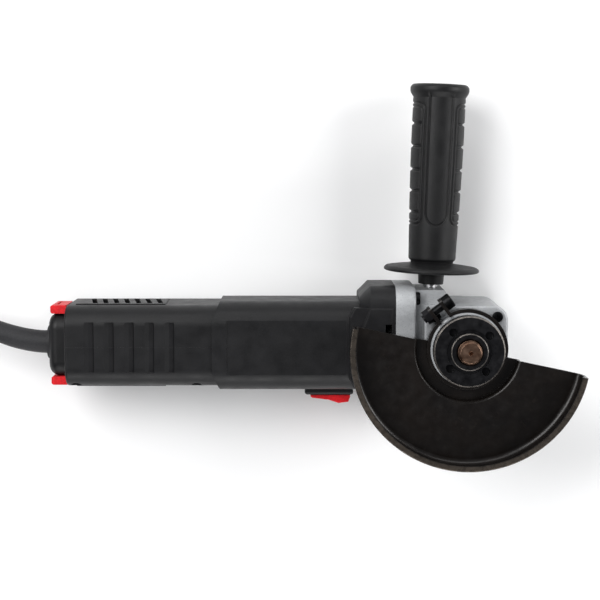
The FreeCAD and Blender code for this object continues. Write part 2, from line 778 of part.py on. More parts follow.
def make_armature_windings():
    """Copper end turns before and behind the core, lacquered into two rings."""
    rings = []
    for near, away in ((d.core_front.value, 1), (d.core_rear.value, -1)):
        profile = [(5.02, 0.05), (12.6, 0.05), (13.6, 2.0), (13.0, 5.0), (10.0, 7.2), (5.02, 7.6)]
        ring = turned([(radius, away * height) for radius, height in profile])
        ring.rotate(FreeCAD.Vector(0, 0, 0), FreeCAD.Vector(0, 1, 0), 90)
        ring.translate(FreeCAD.Vector(near, 0, 0))
        rings.append(ring)
    plain_feature("armature_windings", Part.makeCompound(rings))


def make_commutator():
    body = new_body("commutator")
    extrude(body, "X", d.commutator_rear, d.commutator_front,
            circle(0, 0, d.commutator_radius), circle(0, 0, d.shaft_radius))
    slot = extrude(body, "X", d.commutator_rear - 1, d.commutator_front + 1,
                   rectangle(-0.25, 0.25, 8.6, 12), cut=True)
    repeat_round(body, slot, "X", 24)


def make_fan():
    """The cooling fan: a disc and a hub with curved-in blades towards the gear head."""
    body = new_body("fan")
    revolve(body, "X", polygon(
        (d.fan_rear, d.shaft_radius), (d.fan_front, d.shaft_radius), (d.fan_front, 8.5),
        (d.fan_rear + 2.2, 10), (d.fan_rear + 1.6, d.fan_radius), (d.fan_rear, d.fan_radius)))
    blade = extrude(body, "X", d.fan_rear + 1, d.fan_front,
                    polygon((-0.6, 9), (0.6, 9), (4.2, d.fan_radius - 1.2), (2.9, d.fan_radius - 1)))
    repeat_round(body, blade, "X", 13)


def make_fan_baffle():
    body = new_body("fan_baffle")
    revolve(body, "X", polygon(
        (-44.6, 17), (-43.0, 17), (-43.0, d.fan_chamber - 0.2), (-46.4, d.fan_chamber - 0.2),
        (-46.4, d.fan_chamber - 1.6), (-44.6, d.fan_chamber - 1.6)))


def cylinder_along_x(label, radius, low, high):
    tube = doc.addObject("Part::Cylinder", label)
    tube.setExpression("Radius", as_size(radius).text)
    tube.setExpression("Height", (high - low).text)
    tube.Placement = FreeCAD.Placement(FreeCAD.Vector(0, 0, 0), FreeCAD.Rotation(FreeCAD.Vector(0, 1, 0), 90))
    tube.setExpression(".Placement.Base.x", low.text)
    return tube


def cut_from(label, base, tool):
    cut = doc.addObject("Part::Cut", label)
    cut.Base = base
    cut.Tool = tool
    return cut


def sector(radius, low, high, first_angle, angle):
    """A pie slice about the X axis; the angle is measured from +Y towards +Z."""
    slice_shape = Part.makeCylinder(radius, high - low, FreeCAD.Vector(0, 0, 0), FreeCAD.Vector(0, 0, 1), angle)
    slice_shape.rotate(FreeCAD.Vector(0, 0, 0), FreeCAD.Vector(0, 0, 1), first_angle)
    slice_shape.Placement = FreeCAD.Placement(
        FreeCAD.Vector(low, 0, 0),
        FreeCAD.Rotation(FreeCAD.Vector(0, 1, 0), FreeCAD.Vector(0, 0, 1), FreeCAD.Vector(1, 0, 0), "XYZ")
    ).multiply(slice_shape.Placement)
    return slice_shape


COIL_INNER = 17.0
COIL_OUTER = 22.0
COIL_START = 14.0  # degrees from the flat side to the coil's edge
COIL_LEG = 24.0  # degrees that one leg of a field coil takes


def make_stator_core():
    """Laminated stator: a ring with flats at its sides and four pockets for the field coils."""
    outer = cylinder_along_x("stator_outer", d.stator_radius, d.core_rear, d.core_front)
    bore = cylinder_along_x("stator_hole", d.stator_bore, d.core_rear, d.core_front)
    ring = cut_from("stator_ring", outer, bore)
    slab = doc.addObject("Part::Box", "stator_slab")
    slab.setExpression("Length", (d.core_front - d.core_rear).text)
    slab.setExpression("Width", (d.stator_flat * 2).text)
    slab.setExpression("Height", (d.stator_radius * 2).text)
    slab.setExpression(".Placement.Base.x", d.core_rear.text)
    slab.setExpression(".Placement.Base.y", (-d.stator_flat).text)
    slab.setExpression(".Placement.Base.z", (-d.stator_radius).text)
    flat = doc.addObject("Part::Common", "stator_flats")
    flat.Base = ring
    flat.Tool = slab
    doc.recompute()
    low, high = d.core_rear.value - 1, d.core_front.value + 1
    pockets = []
    for start in (COIL_START, 180 - COIL_START - COIL_LEG):
        for half in (0, 180):
            wide = sector(COIL_OUTER - 0.3, low, high, start + half - 1, COIL_LEG + 2)
            pockets.append(wide.cut(sector(COIL_INNER - 0.3, low, high, start + half - 2, COIL_LEG + 4)))
    hollow = plain_tool("stator_pockets", Part.makeCompound(pockets))
    keep(cut_from("stator_core", flat, hollow), "stator_core")


def plain_tool(label, shape):
    tool = doc.addObject("Part::Feature", label)
    tool.Shape = shape
    return tool


def make_field_coil(label, half):
    """One field coil: two legs through the stator and an arched turn at each end."""
    low, high = d.core_rear.value, d.core_front.value
    reach = 6.0
    span = 180 - 2 * COIL_START
    arch = sector(COIL_OUTER - 0.5, low - reach, high + reach, half + COIL_START, span)
    arch = arch.cut(sector(COIL_INNER, low - reach - 1, high + reach + 1, half, 180))
    pole = sector(COIL_OUTER + 5, low - 0.3, high + 0.3, half + COIL_START + COIL_LEG, span - 2 * COIL_LEG)
    plain_feature(label, arch.cut(pole))


def make_brush_gear(label, up):
    """A brass brush holder and its carbon brush, on one side of the commutator."""
    x, gap = d.brush_place, 0.12
    low, high = d.commutator_radius + 1.6, d.commutator_radius + 14.1
    holder = new_body(f"brush_holder_{label}")
    limits = (low, high) if up > 0 else (-high, -low)
    extrude(holder, "Z", *limits, rectangle(x - 5.3, x + 5.3, -4.3, 4.3),
            rectangle(x - 4 - gap, x + 4 + gap, -3 - gap, 3 + gap))
    brush = new_body(f"carbon_brush_{label}")
    near, far = d.commutator_radius + 0.06, d.commutator_radius + d.brush_length
    limits = (near, far) if up > 0 else (-far, -near)
    extrude(brush, "Z", *limits, rectangle(x - 4, x + 4, -3, 3))
    far_end = up * far.value
    spring_end = up * (d.commutator_radius.value + 14.0)
    low_end, high_end = sorted((far_end + up * 0.05, spring_end))
    helix_spring(f"brush_spring_{label}", x.value, low_end, high_end, 2.2, 0.3, 3.5)


# Housings


def seam_cut(body, side, rear):
    """Takes off the slanted corner of the seam between motor housing and rear housing, on one side."""
    half, shoulder, reach = d.seam_half * side, d.barrel_rear + d.seam_shoulder, 40 * side
    if rear:
        corners = (d.barrel_rear, 0), (d.barrel_rear, half), (shoulder, d.barrel_half * side), \
                  (shoulder, reach), (0, reach), (0, 0)
    else:
        corners = (d.barrel_rear - 1, half), (d.barrel_rear, half), (shoulder, d.barrel_half * side), \
                  (shoulder, reach), (d.barrel_rear - 1, reach)
    extrude(body, "Z", -50, 50, polygon(*corners), cut=True)


def make_motor_housing():
    """One moulding: the barrel round the motor and the square collar at the gear head."""
    body = new_body("motor_housing")
    extrude(body, "X", d.collar_rear, d.band_rear,
            rectangle(-d.collar_half, d.collar_half, -d.collar_half_height, d.collar_half_height))
    soften(body, d.collar_corner, lambda e: runs_along(e, "X"))
    soften(body, 6.5, lambda e: lies_at(e, "X", d.collar_rear), "Chamfer")
    extrude(body, "X", d.barrel_rear, d.collar_rear + 7.5,
            rounded(-d.barrel_half, d.barrel_half, -d.barrel_half_height, d.barrel_half_height,
                    d.barrel_corner))
    top = d.collar_half_height
    extrude(body, "Z", 20, top, polygon(
        (-69.8, -18.5), (-66.9, -24), (-50, -24), (-50, 24), (-66.9, 24), (-69.8, 18.5)))
    soften(body, 1.0, lambda e: lies_at(e, "Z", top) and middle(e).x < -63, "Chamfer")
    extrude(body, "Z", 20, top + 1, polygon(
        (-63.5, -8), (-57.5, -24), (-43.5, -24), (-43.5, 24), (-57.5, 24), (-63.5, 8)))
    soften(body, 0.9, lambda e: lies_at(e, "Z", top + 1), "Chamfer")
    for level in (1, -1):
        limits = sorted((level * (d.barrel_half_height.value + 1), level * (d.barrel_half_height.value - 0.45)))
        extrude(body, "Z", limits[0], limits[1],
                rectangle(d.barrel_rear + 9, d.collar_rear - 8, -19.5, 19.5), cut=True)
    for side in (1, -1):
        seam_cut(body, side, rear=False)
    extrude(body, "Y", -d.bump_face, -d.motor_bore - 1,
            rectangle(d.bump_rear, d.bump_front, -d.bump_half, d.bump_half))
    soften(body, 2.0, lambda e: lies_at(e, "Y", -d.bump_face))
    revolve(body, "X", rectangle(d.rear_wall, d.band_rear + 1, 0, d.motor_bore), cut=True)
    revolve(body, "X", rectangle(d.fan_rear - 2, d.band_rear + 1, 0, d.fan_chamber), cut=True)
    revolve(body, "X", rectangle(d.rear_bearing_rear - 0.5, d.rear_wall + 1, 0,
                                 d.boot_radius + d.running_gap), cut=True)
    revolve(body, "X", rectangle(d.barrel_rear - 1, d.rear_wall + 1, 0, 5), cut=True)
    windows = [circle(y, z, 5.6) for y in (-13, 13) for z in (-13, 13)]
    extrude(body, "X", d.barrel_rear - 1, d.rear_wall + 1, *windows, cut=True)
    extrude(body, "X", d.barrel_rear - 1, d.slider_rear, rectangle(-22.3, -20.1, -3.6, 3.6), cut=True)
    extrude(body, "Y", -d.bump_face - 1, -20, rectangle(-89, -71, -2.9, 2.9), cut=True)
    corners = [circle(y, z, 2.15) for y in (-29, 29) for z in (-23, 23)]
    extrude(body, "X", d.band_rear - 16, d.band_rear + 1, *corners, cut=True)
    outlets = [rectangle(-48.2, -44.4, y, y + 5.2) for y in (9, -14.2)]
    extrude(body, "Z", 20, 33, *outlets, cut=True)
    slots = [rectangle(-61 + 4.4 * k, -58.6 + 4.4 * k, -13, 13) for k in range(4)]
    extrude(body, "Y", -39, -20, *slots, cut=True)


SHELL_SCREW_X = (-161.0, -233.5)
SHELL_SCREW_Z = (-25.0, 19.5)


def make_rear_shell(label, side):
    """Half of the rear housing, split along the plane of the spindle and motor axes."""
    body = new_body(label)
    outer = sorted((0.0, side * d.shell_half.value))
    extrude(body, "X", d.shell_rear, d.barrel_rear + d.seam_shoulder,
            rectangle(outer[0], outer[1], floor_level, d.shell_top))
    soften(body, d.shell_corner, lambda e: runs_along(e, "X") and abs(middle(e).y) > 20)
    soften(body, 1.6, lambda e: lies_at(e, "X", d.shell_rear) and abs(middle(e).y) > 1)
    seam_cut(body, side, rear=True)
    inside = d.shell_half - d.wall
    extrude(body, "X", d.shell_rear + d.wall, 0,
            rounded(-inside, inside, floor_level + d.wall, d.shell_top - d.wall, d.shell_corner - d.wall),
            cut=True)
    bosses = [circle(x, z, 4.4) for x in SHELL_SCREW_X for z in SHELL_SCREW_Z]
    boss_span = sorted((0.0, side * 18.6))
    extrude(body, "Y", boss_span[0], boss_span[1], *bosses)
    pillar = sorted((side * 7.3, side * 13.0))
    extrude(body, "Z", floor_level + 1, d.sleeve_radius, rectangle(-234, -224, pillar[0], pillar[1]))
    holes = [circle(x, z, 1.75) for x in SHELL_SCREW_X for z in SHELL_SCREW_Z]
    hole_span = (-18.0, 0.5) if side < 0 else (-0.5, 16.5)
    extrude(body, "Y", hole_span[0], hole_span[1], *holes, cut=True)
    extrude(body, "Z", -9, d.sleeve_radius + 1, circle(-229, side * 10.2, 1.75), cut=True)
    if side < 0:
        heads = [circle(x, z, 3.2) for x in SHELL_SCREW_X for z in SHELL_SCREW_Z]
        extrude(body, "Y", -30, -16.4, *heads, cut=True)
    for level in (d.shell_top, floor_level):
        cut_grooves(body, side, level)
    window = sorted((side * 18.0, side * 30.0))
    extrude(body, "Y", window[0], window[1],
            rectangle(d.grille_rear + 2, d.grille_front - 2, -d.grille_half + 2, d.grille_half - 2), cut=True)
    revolve(body, "X", rectangle(d.shell_rear - 1, d.shell_rear + 4, 0, d.sleeve_radius + 0.1), cut=True)


def cut_grooves(body, side, level):
    """Five finger grooves across the grip face at a level, each steep at its front edge."""
    outward = 1 if level.value > 0 else -1
    above, floor = level + outward, level - d.groove_depth * outward
    grooves = []
    for k in range(5):
        front = d.groove_first - d.groove_pitch * k
        rear = front - d.groove_width
        grooves.append(polygon((rear, above), (rear, level), (rear + 2.8, floor + outward * 0.2),
                               (front - 0.9, floor), (front, level), (front, above)))
    limits = sorted((0.0, side * d.groove_half.value))
    extrude(body, "Y", limits[0], limits[1], *grooves, cut=True)


def make_intake_grille(label, side):
    """A removable intake cover with slanted slots, set in the side of the rear housing."""
    body = new_body(label)
    outer = sorted((side * (d.shell_half.value + 0.2), side * (d.shell_half.value - 1.6)))
    extrude(body, "Y", outer[0], outer[1],
            rectangle(d.grille_rear + 2.2, d.grille_front - 2.2, -d.grille_half + 2.2, d.grille_half - 2.2))
    rim = sorted((side * (d.shell_half.value + 0.02), side * (d.shell_half.value + 0.7)))
    extrude(body, "Y", rim[0], rim[1], rectangle(d.grille_rear, d.grille_front, -d.grille_half, d.grille_half))
    soften(body, 0.5, lambda e: lies_at(e, "Y", side * (d.shell_half.value + 0.7)))
    slots = []
    for k in range(7):
        x = d.grille_rear.value + 6 + 6.6 * k
        slots.append(polygon((x, -12), (x + 3, -12), (x + 7, 12), (x + 4, 12)))
    through = sorted((side * 18.0, side * 30.0))
    extrude(body, "Y", through[0], through[1], *slots, cut=True)


def make_end_cap():
    """The domed cap that closes the rear end and guides the cord sleeve."""
    body = new_body("end_cap")
    extrude(body, "X", d.cap_rear, d.shell_rear, rectangle(-d.cap_half, d.cap_half, -24, 19))
    soften(body, 9, lambda e: runs_along(e, "X"))
    soften(body, 5.5, lambda e: lies_at(e, "X", d.cap_rear))
    revolve(body, "X", rectangle(d.cap_rear - 1, d.shell_rear + 1, 0, d.sleeve_radius + 0.1), cut=True)


def make_filter_latch(label, side):
    """The red latch at the rear corner that lets go of an intake cover."""
    body = new_body(label)
    reach = sorted((side * 19.1, side * 24.2))
    extrude(body, "X", d.cap_rear + 1, d.shell_rear, rectangle(reach[0], reach[1], -9, 16))
    soften(body, 1.8, lambda e: lies_at(e, "X", d.cap_rear + 1))
    extrude(body, "X", d.cap_rear + 4.2, d.cap_rear + 5.6,
            rectangle(min(reach) - 1 if side < 0 else 23.0, -23.0 if side < 0 else max(reach) + 1, -5, 12), cut=True)


def make_rear_shell_screws():
    """Four screws that pull the two halves of the rear housing together."""
    screws = []
    for x in SHELL_SCREW_X:
        for z in SHELL_SCREW_Z:
            screw = screw_shape(0, 0, 0, 32, 1.7, 3.0, 1.8)
            screw.Placement = FreeCAD.Placement(FreeCAD.Vector(x, -16.42, z),
                                                FreeCAD.Rotation(FreeCAD.Vector(1, 0, 0), 90))
            screws.append(screw)
    plain_feature("rear_shell_screws", Part.makeCompound(screws))


# Switch


def make_switch():
    """The slide switch: a red slider on the housing's side, its rod and the switch unit that it works."""
    slider = new_body("switch_slider")
    top = -d.slider_face
    foot = -d.bump_face - 0.3
    extrude(slider, "Z", -7.5, 7.5, polygon(
        (d.slider_rear, foot), (d.slider_front, foot), (d.slider_front, foot - 1.2),
        (d.slider_front - 1.2, top + 0.9), (d.slider_front - 7, top), (d.slider_front - 13, top + 2.0),
        (d.slider_rear + 1.2, foot - 1.9), (d.slider_rear, foot - 1.2)))
    soften(slider, 0.5, lambda e: lies_at(e, "Z", 7.5) or lies_at(e, "Z", -7.5))
    ribs = [rectangle(x, x + 0.9, top - 1, top + 1.1) for x in (-79.5, -77.3, -75.1)]
    extrude(slider, "Z", -5.5, 5.5, *ribs, cut=True)
    extrude(slider, "Y", foot - 0.5, -21.95, rectangle(-87.8, -76.2, -2.5, 2.5))
    rod = new_body("switch_rod")
    extrude(rod, "Y", -21.9, -20.5, rectangle(-188, -76.5, -2.9, 2.9))
    extrude(rod, "Y", -20.55, -11.5, rectangle(-188, -186, -2.9, 2.9))
    unit = new_body("switch_unit")
    extrude(unit, "X", -216, -184, rectangle(-10.5, 14, -15, 15))
    soften(unit, 1.0, lambda e: runs_along(e, "X"))
    extrude(unit, "X", -222, -216, *[rectangle(y, y + 0.8, z, z + 6.3) for y in (-6, 8) for z in (-9, 3)])


# Guard


def make_guard_shell():
    """The pressed half guard: a flat plate with a sunk centre, a deep skirt and a turned-in lip."""
    body = new_body("guard_shell")
    sheet_thickness, radius = d.guard_sheet, d.guard_radius
    hub = d.neck_radius + 0.06 + d.band_thickness
    revolve(body, "Z", polygon(
        (hub, d.guard_recess_low), (d.guard_recess_radius, d.guard_recess_low),
        (d.guard_recess_radius, d.guard_low), (radius, d.guard_low), (radius, d.guard_high),
        (radius - d.guard_lip, d.guard_high), (radius - d.guard_lip, d.guard_high - sheet_thickness),
        (radius - sheet_thickness, d.guard_high - sheet_thickness),
        (radius - sheet_thickness, d.guard_low + sheet_thickness),
        (d.guard_recess_radius - sheet_thickness, d.guard_low + sheet_thickness),
        (d.guard_recess_radius - sheet_thickness, d.guard_recess_low + sheet_thickness),
        (hub, d.guard_recess_low + sheet_thickness)), angle=180.0)
    round_bends(body, 5.0, (radius, d.guard_low))
    round_bends(body, 3.3, (radius - sheet_thickness, d.guard_low + sheet_thickness))
    round_bends(body, 2.2, (d.guard_recess_radius - sheet_thickness, d.guard_low + sheet_thickness))
    round_bends(body, 0.8, (radius, d.guard_high))
    body.setExpression(".Placement.Rotation.Angle", d.guard_turn.text)
    return body


def round_bends(body, radius, corner):
    """Rounds the circular bend of the guard's sheet at one corner (radius, z) of its profile."""
    reach, level = corner

    def chosen(edge):
        point = middle(edge)
        return lies_at(edge, "Z", level) and abs(math.hypot(point.x, point.y) - reach.value) < 0.01 \
            and edge.Length > 20

    soften(body, radius, chosen)


def clamp_frame(body):
    """Turns a piece of the guard clamp from the X axis to the clamp's place round the neck."""
    body.setExpression(".Placement.Rotation.Angle", d.clamp_azimuth.text)


def make_guard_clamp():
    """The band round the neck with its two ears, the clamp screw and its nut."""
    inner = d.neck_radius + 0.06
    outer = inner + d.band_thickness
    place, level, gap, ear = d.clamp_screw_place, d.clamp_screw_level, d.ear_gap_half, d.ear_thickness
    band = new_body("guard_band")
    revolve(band, "Z", rectangle(inner, outer, d.band_low, d.neck_level - 0.3))
    extrude(band, "Z", d.band_low - 1, d.neck_level + 1, rectangle(15, 40, -gap, gap), cut=True)
    for side in (1, -1):
        limits = sorted((side * gap.value, side * (gap + ear).value))
        extrude(band, "Y", limits[0], limits[1],
                rectangle(inner + 0.35, place + 4.6, d.band_low + 0.1, level + 3.8))
    soften(band, 2.4, lambda e: runs_along(e, "Y") and middle(e).x > place.value + 4)
    hole = circle(place, level, d.clamp_screw_radius + 0.1)
    extrude(band, "Y", -12, 12, hole, cut=True)
    clamp_frame(band)
    screw = new_body("clamp_screw")
    face = gap + ear + 0.05
    extrude(screw, "Y", -face - 5.2, -face, circle(place, level, d.clamp_head_radius))
    soften(screw, 0.6, lambda e: lies_at(e, "Y", -face - 5.2), "Chamfer")
    extrude(screw, "Y", -face - 6, -face - 2.2, hexagon(2.3, place, level), cut=True)
    extrude(screw, "Y", -face - 0.5, face + 5.2, circle(place, level, d.clamp_screw_radius))
    clamp_frame(screw)
    nut = new_body("clamp_nut")
    extrude(nut, "Y", face, face + 4, hexagon(4.5, place, level),
            circle(place, level, d.clamp_screw_radius + 0.06))
    clamp_frame(nut)


# Side handle, drawn along +Y from the boss face and then leant and put in place


def place_handle(body):
    """Leans the handle about the vertical and sets it on the boss of the gear case."""
    start = d.boss_half.value
    body.Placement = FreeCAD.Placement(
        FreeCAD.Vector(d.handle_place.value, start, 0),
        FreeCAD.Rotation(FreeCAD.Vector(0, 0, 1), -d.handle_lean.value))
    body.setExpression(".Placement.Base.z", d.axis_height.text)


def turned_about_y(body, outline, cut=False):
    """Turns an outline drawn as (radius, y) about the handle's own axis."""
    sketch = new_sketch(body, "XY_Plane", [outline])
    feature = body.newObject("PartDesign::Groove" if cut else "PartDesign::Revolution", f"{body.Name}_turned")
    feature.Profile = sketch
    feature.ReferenceAxis = (sketch, ["V_Axis"])
    feature.Angle = 360.0
    sketch.Visibility = False
    return feature


def make_side_handle():
    """The moulded grip with its hand-guard disc, and the stud that screws into the gear case."""
    grip = new_body("handle_grip")
    near, disc = d.stud_gap, d.stud_gap + d.stub_length
    start, end = d.grip_start, d.grip_start + d.grip_length
    thick = d.guard_disc_thickness
    turned_about_y(grip, polygon(
        (0, near), (d.stub_radius - 0.4, near), (d.stub_radius, disc + 1.2), (20, disc + 0.9),
        (d.guard_disc_radius - 1.4, disc), (d.guard_disc_radius, disc + 1.4),
        (d.guard_disc_radius - 1.2, disc + thick), (20, disc + thick + 1.2),
        (d.grip_base_radius - 0.8, disc + thick + 2.0), (d.grip_base_radius - 1.4, start - 0.6),
        (d.grip_base_radius, start), (d.grip_radius - 0.2, start + 16), (d.grip_radius, start + 52),
        (d.grip_radius - 0.3, end - 8.5), (d.grip_flare_radius, end - 5.5),
        (d.grip_flare_radius, end - 1.6), (d.grip_flare_radius - 1.6, end), (0, end)))
    turned_about_y(grip, polygon(
        (0, end + 1), (7, end + 1), (7, end - 5), (0, end - 5)), cut=True)
    for level in (1, -1):
        limits = sorted((level * (d.grip_radius.value - 0.9), level * 20.0))
        extrude(grip, "Z", limits[0], limits[1], polygon(
            (-5.4, start + 23), (-3, start + 20), (3, start + 20), (5.4, start + 23),
            (6.8, end - 7), (-6.8, end - 7)), cut=True)
    stud = new_body("handle_stud")
    radius = d.handle_thread_radius
    turned_about_y(stud, polygon((0, -10.5), (radius - 0.9, -10.5), (radius, -9.6), (radius, near),
                                 (0, near)))
    turned_about_y(stud, polygon((0, near - 0.5), (5.2, near - 0.5), (5.2, near), (0, near)))
    for piece in (grip, stud):
        place_handle(piece)


# Cord. Its route is measured like the rest in X and Y; the third number is the height above the surface.

# The strain relief's centre line: (distance along it, heading change so far in degrees, radius)
SLEEVE_STATIONS = ((0, 0, 7.0), (11, 8, 6.9), (22, 15.5, 6.7), (33, 21, 6.4), (44, 24, 6.0), (54, 25, 5.6))

# From the sleeve's end down towards the surface and into the coil's outermost upper turn
CORD_ROUTE = (
    (-302.9, 14.8, 33.0),
    (-325.0, 25.1, 33.0),
    (-363.4, 46.0, 21.5),
    (-382.3, 60.7, 19.9),
)


def sleeve_centres():
    """Points and headings down the sleeve's middle, from the end cap outwards."""
    point = FreeCAD.Vector(d.cap_rear.value - 1.0, 0, 0)
    centres = [(point, FreeCAD.Vector(-1, 0, 0))]
    for (start, turn, _), (end, next_turn, _) in zip(SLEEVE_STATIONS, SLEEVE_STATIONS[1:]):
        halfway = math.radians((turn + next_turn) / 2)
        point = point + FreeCAD.Vector(-math.cos(halfway), math.sin(halfway), 0) * (end - start)
        heading = math.radians(next_turn)
        centres.append((point, FreeCAD.Vector(-math.cos(heading), math.sin(heading), 0)))
    return centres


def make_cord_sleeve():
    """The rubber strain relief: rings either side of the cap and a curved, tapered sleeve."""
    sections = [
        Part.Wire(Part.makeCircle(radius, point, heading))
        for (point, heading), (_, _, radius) in zip(sleeve_centres(), SLEEVE_STATIONS)
    ]
    bend = Part.makeLoft(sections, True, False)
    back = FreeCAD.Vector(-1, 0, 0)
    inside = d.cap_rear.value + 27.0
    stub = Part.makeCylinder(d.sleeve_radius.value, 28.0, FreeCAD.Vector(inside, 0, 0), back)
    collar = Part.makeCylinder(10.0, 2.4, FreeCAD.Vector(d.cap_rear.value - 0.02, 0, 0), back)
    collar = collar.makeFillet(0.8, [collar.Edges[2]])
    inner = Part.makeCylinder(9.6, 2.0, FreeCAD.Vector(d.shell_rear.value + d.wall.value + 2.1, 0, 0), back)
    plain_feature("cord_sleeve", join([bend, stub, collar, inner]))


def make_cord_clamp():
    """The bar that holds the sleeve down inside the rear housing, and its two screws."""
    bar = new_body("cord_clamp")
    top = d.sleeve_radius + 3.2
    extrude(bar, "Z", d.sleeve_radius + 0.02, top, rectangle(-234, -224, -13, 13),
            circle(-229, 10.2, 1.8), circle(-229, -10.2, 1.8))
    soften(bar, 1.5, lambda e: runs_along(e, "Z") and abs(middle(e).y) > 12.5)
    screws = [screw_shape(-229, y, top.value + 0.02, 15, 1.7, 3.0, 1.8) for y in (-10.2, 10.2)]
    plain_feature("cord_clamp_screws", Part.makeCompound(screws))


def rounded_path(points, share=0.45):
    """Straight runs joined by tangent arcs, each as large as its two runs allow; prints the radii."""
    edges, radii, start = [], [], points[0]
    for before, corner, after in zip(points, points[1:], points[2:]):
        inward, outward = (before - corner), (after - corner)
        shorter = min(inward.Length, outward.Length)
        inward.normalize()
        outward.normalize()
        half_turn = (math.pi - inward.getAngle(outward)) / 2
        reach = share * shorter
        radius = reach / math.tan(half_turn)
        radii.append(radius)
        first, last = corner + inward * reach, corner + outward * reach
        axis = inward + outward
        axis.normalize()
        middle_point = corner + axis * (radius / math.cos(half_turn) - radius)
        edges.append(Part.LineSegment(start, first).toShape())
        edges.append(Part.Arc(first, middle_point, last).toShape())
        start = last
    edges.append(Part.LineSegment(start, points[-1]).toShape())
    print("cord arc radii in mm:", [round(radius, 1) for radius in radii])
    return Part.Wire(edges)


def make_power_cord():
    """The stretch of cord between the sleeve and the coil, as one tube of constant section."""
    level = floor_level.value
    points = [FreeCAD.Vector(x, y, z + level) for x, y, z in CORD_ROUTE]
    path = rounded_path(points)
    heading = points[1] - points[0]
    section = Part.Wire(Part.makeCircle(d.cord_radius.value, points[0], heading))
    tube = path.makePipeShell([section], True, False)
    expected = math.pi * d.cord_radius.value ** 2 * path.Length
    print(f"cord tube length {path.Length:.1f} mm, volume {tube.Volume:.0f}, section x length {expected:.0f}")
    plain_feature("power_cord", tube)


def make_cord_coil():
    """The outer shape of the tied coil that holds the rest of the cord."""
    coil = doc.addObject("Part::Torus", "cord_coil")
    coil.setExpression("Radius1", d.coil_radius.text)
    coil.setExpression("Radius2", d.coil_thickness.text)
    keep(coil, "cord_coil")
    coil.setExpression(".Placement.Base.x", d.coil_x.text)
    coil.setExpression(".Placement.Base.y", d.coil_y.text)
    coil.setExpression(".Placement.Base.z", d.coil_thickness.text)


def place_plug(body):
    """Sets a piece drawn about the plug's own axis beside the coil, on the surface."""
    body.setExpression(".Placement.Base.x", (d.coil_x - d.coil_outer_turn).text)
    body.setExpression(".Placement.Base.z", d.plug_half_height.text)


def make_plug():
    """A two-pin mains plug with a tapered grommet, lying flat beside the coil."""
    plug = new_body("plug_body")
    wide, tall = d.plug_half_width, d.plug_half_height
    extrude(plug, "Y", d.plug_start, d.plug_end, rounded(-wide, wide, -tall, tall, 11.0))
    soften(plug, 4.0, lambda e: lies_at(e, "Y", d.plug_start))
    soften(plug, 1.2, lambda e: lies_at(e, "Y", d.plug_end))
    start = d.plug_grommet_start
    turned_about_y(plug, polygon((0, start), (5.4, start), (8.6, d.plug_start - 1), (9.4, d.plug_start + 3),
                                 (0, d.plug_start + 3)))
    pins = new_body("plug_pins")
    half = d.plug_pin_spacing / 2
    radius = d.plug_pin_radius
    extrude(pins, "Y", d.plug_end, d.plug_end + 19, circle(-half, 0, radius), circle(half, 0, radius))
    soften(pins, 1.4, lambda e: lies_at(e, "Y", d.plug_end + 19))
    for piece in (plug, pins):
        place_plug(piece)


def check_and_write():
    """Stops on any failed object or bad solid, then writes one STEP file for each piece."""
    doc.recompute()
    for item in doc.Objects:
        if {"Invalid", "Error"} & set(item.State):
            raise RuntimeError(f"{item.Label} failed: {item.State}")
    for piece in PARTS:
        if piece.Shape.isNull() or not piece.Shape.isValid():
            raise RuntimeError(f"{piece.Label} has no valid shape")
    os.makedirs("parts", exist_ok=True)
    for piece in PARTS:
        piece.Shape.exportStep(os.path.join("parts", f"{piece.Label}.step"))
    print(len(PARTS), "pieces written")


def main():
    make_gear_case()
    make_bearing_flange()
    make_flange_screws()
    make_gear_case_screws()
    gap = d.running_gap
    make_bearing("spindle_bearing", "Z", d.bearing_low, d.bearing_high, d.bearing_bore, d.bearing_outer)
    make_ring("spindle_bush", "Z", d.bush_low, d.cavity_floor, d.bush_bore, d.bush_outer)
    make_ring("dust_seal", "Z", d.seal_low, d.seal_high, d.shoulder_radius + 0.3, d.seal_outer)
    make_spindle()
    make_ring("spindle_circlip", "Z", 3.1, 4.3, 6 + gap, 8.0)
    make_bevel_gear()
    make_pinion()
    make_inner_flange()
    make_locknut()
    make_lock_button()
    spring_high = d.lock_well_floor.value - 0.05
    helix_spring("lock_spring", d.lock_pin_place.value, floor_level.value + 5.6, spring_high, 3.2, 0.25, 2.5)
    make_armature_shaft()
    make_pinion_nut()
    make_bearing("front_bearing", "X", d.front_bearing_rear, d.front_bearing_front, d.shaft_radius,
                 d.front_bearing_outer)
    make_bearing("rear_bearing", "X", d.rear_bearing_rear, d.rear_bearing_front, d.rear_bearing_bore,
                 d.rear_bearing_outer)
    make_ring("rear_bearing_boot", "X", d.rear_bearing_rear, d.rear_bearing_front, d.rear_bearing_outer + 0.02,
              d.boot_radius)
    make_armature_core()
    make_armature_windings()
    make_commutator()
    make_fan()
    make_fan_baffle()
    make_stator_core()
    make_field_coil("field_coil_upper", 0)
    make_field_coil("field_coil_lower", 180)
    make_brush_gear("upper", 1)
    make_brush_gear("lower", -1)
    make_motor_housing()
    make_rear_shell("rear_shell_left", 1)
    make_rear_shell("rear_shell_right", -1)
    make_rear_shell_screws()
    make_intake_grille("intake_grille_left", 1)
    make_intake_grille("intake_grille_right", -1)
    make_end_cap()
    make_filter_latch("filter_latch_left", 1)
    make_filter_latch("filter_latch_right", -1)
    make_switch()
    make_guard_shell()
    make_guard_clamp()
    make_side_handle()
    make_cord_sleeve()
    make_cord_clamp()
    make_power_cord()
    make_cord_coil()
    make_plug()
    check_and_write()


main()
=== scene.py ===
"""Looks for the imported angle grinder: camera, light, floor, cord, materials and detailed pieces.

Lengths are in metres in the row frame: the spindle axis is Z, the tool rests on Z = 0, +X is the gear head
and +Y the side handle.
"""

import json
import math

import bpy
from mathutils import Matrix, Vector


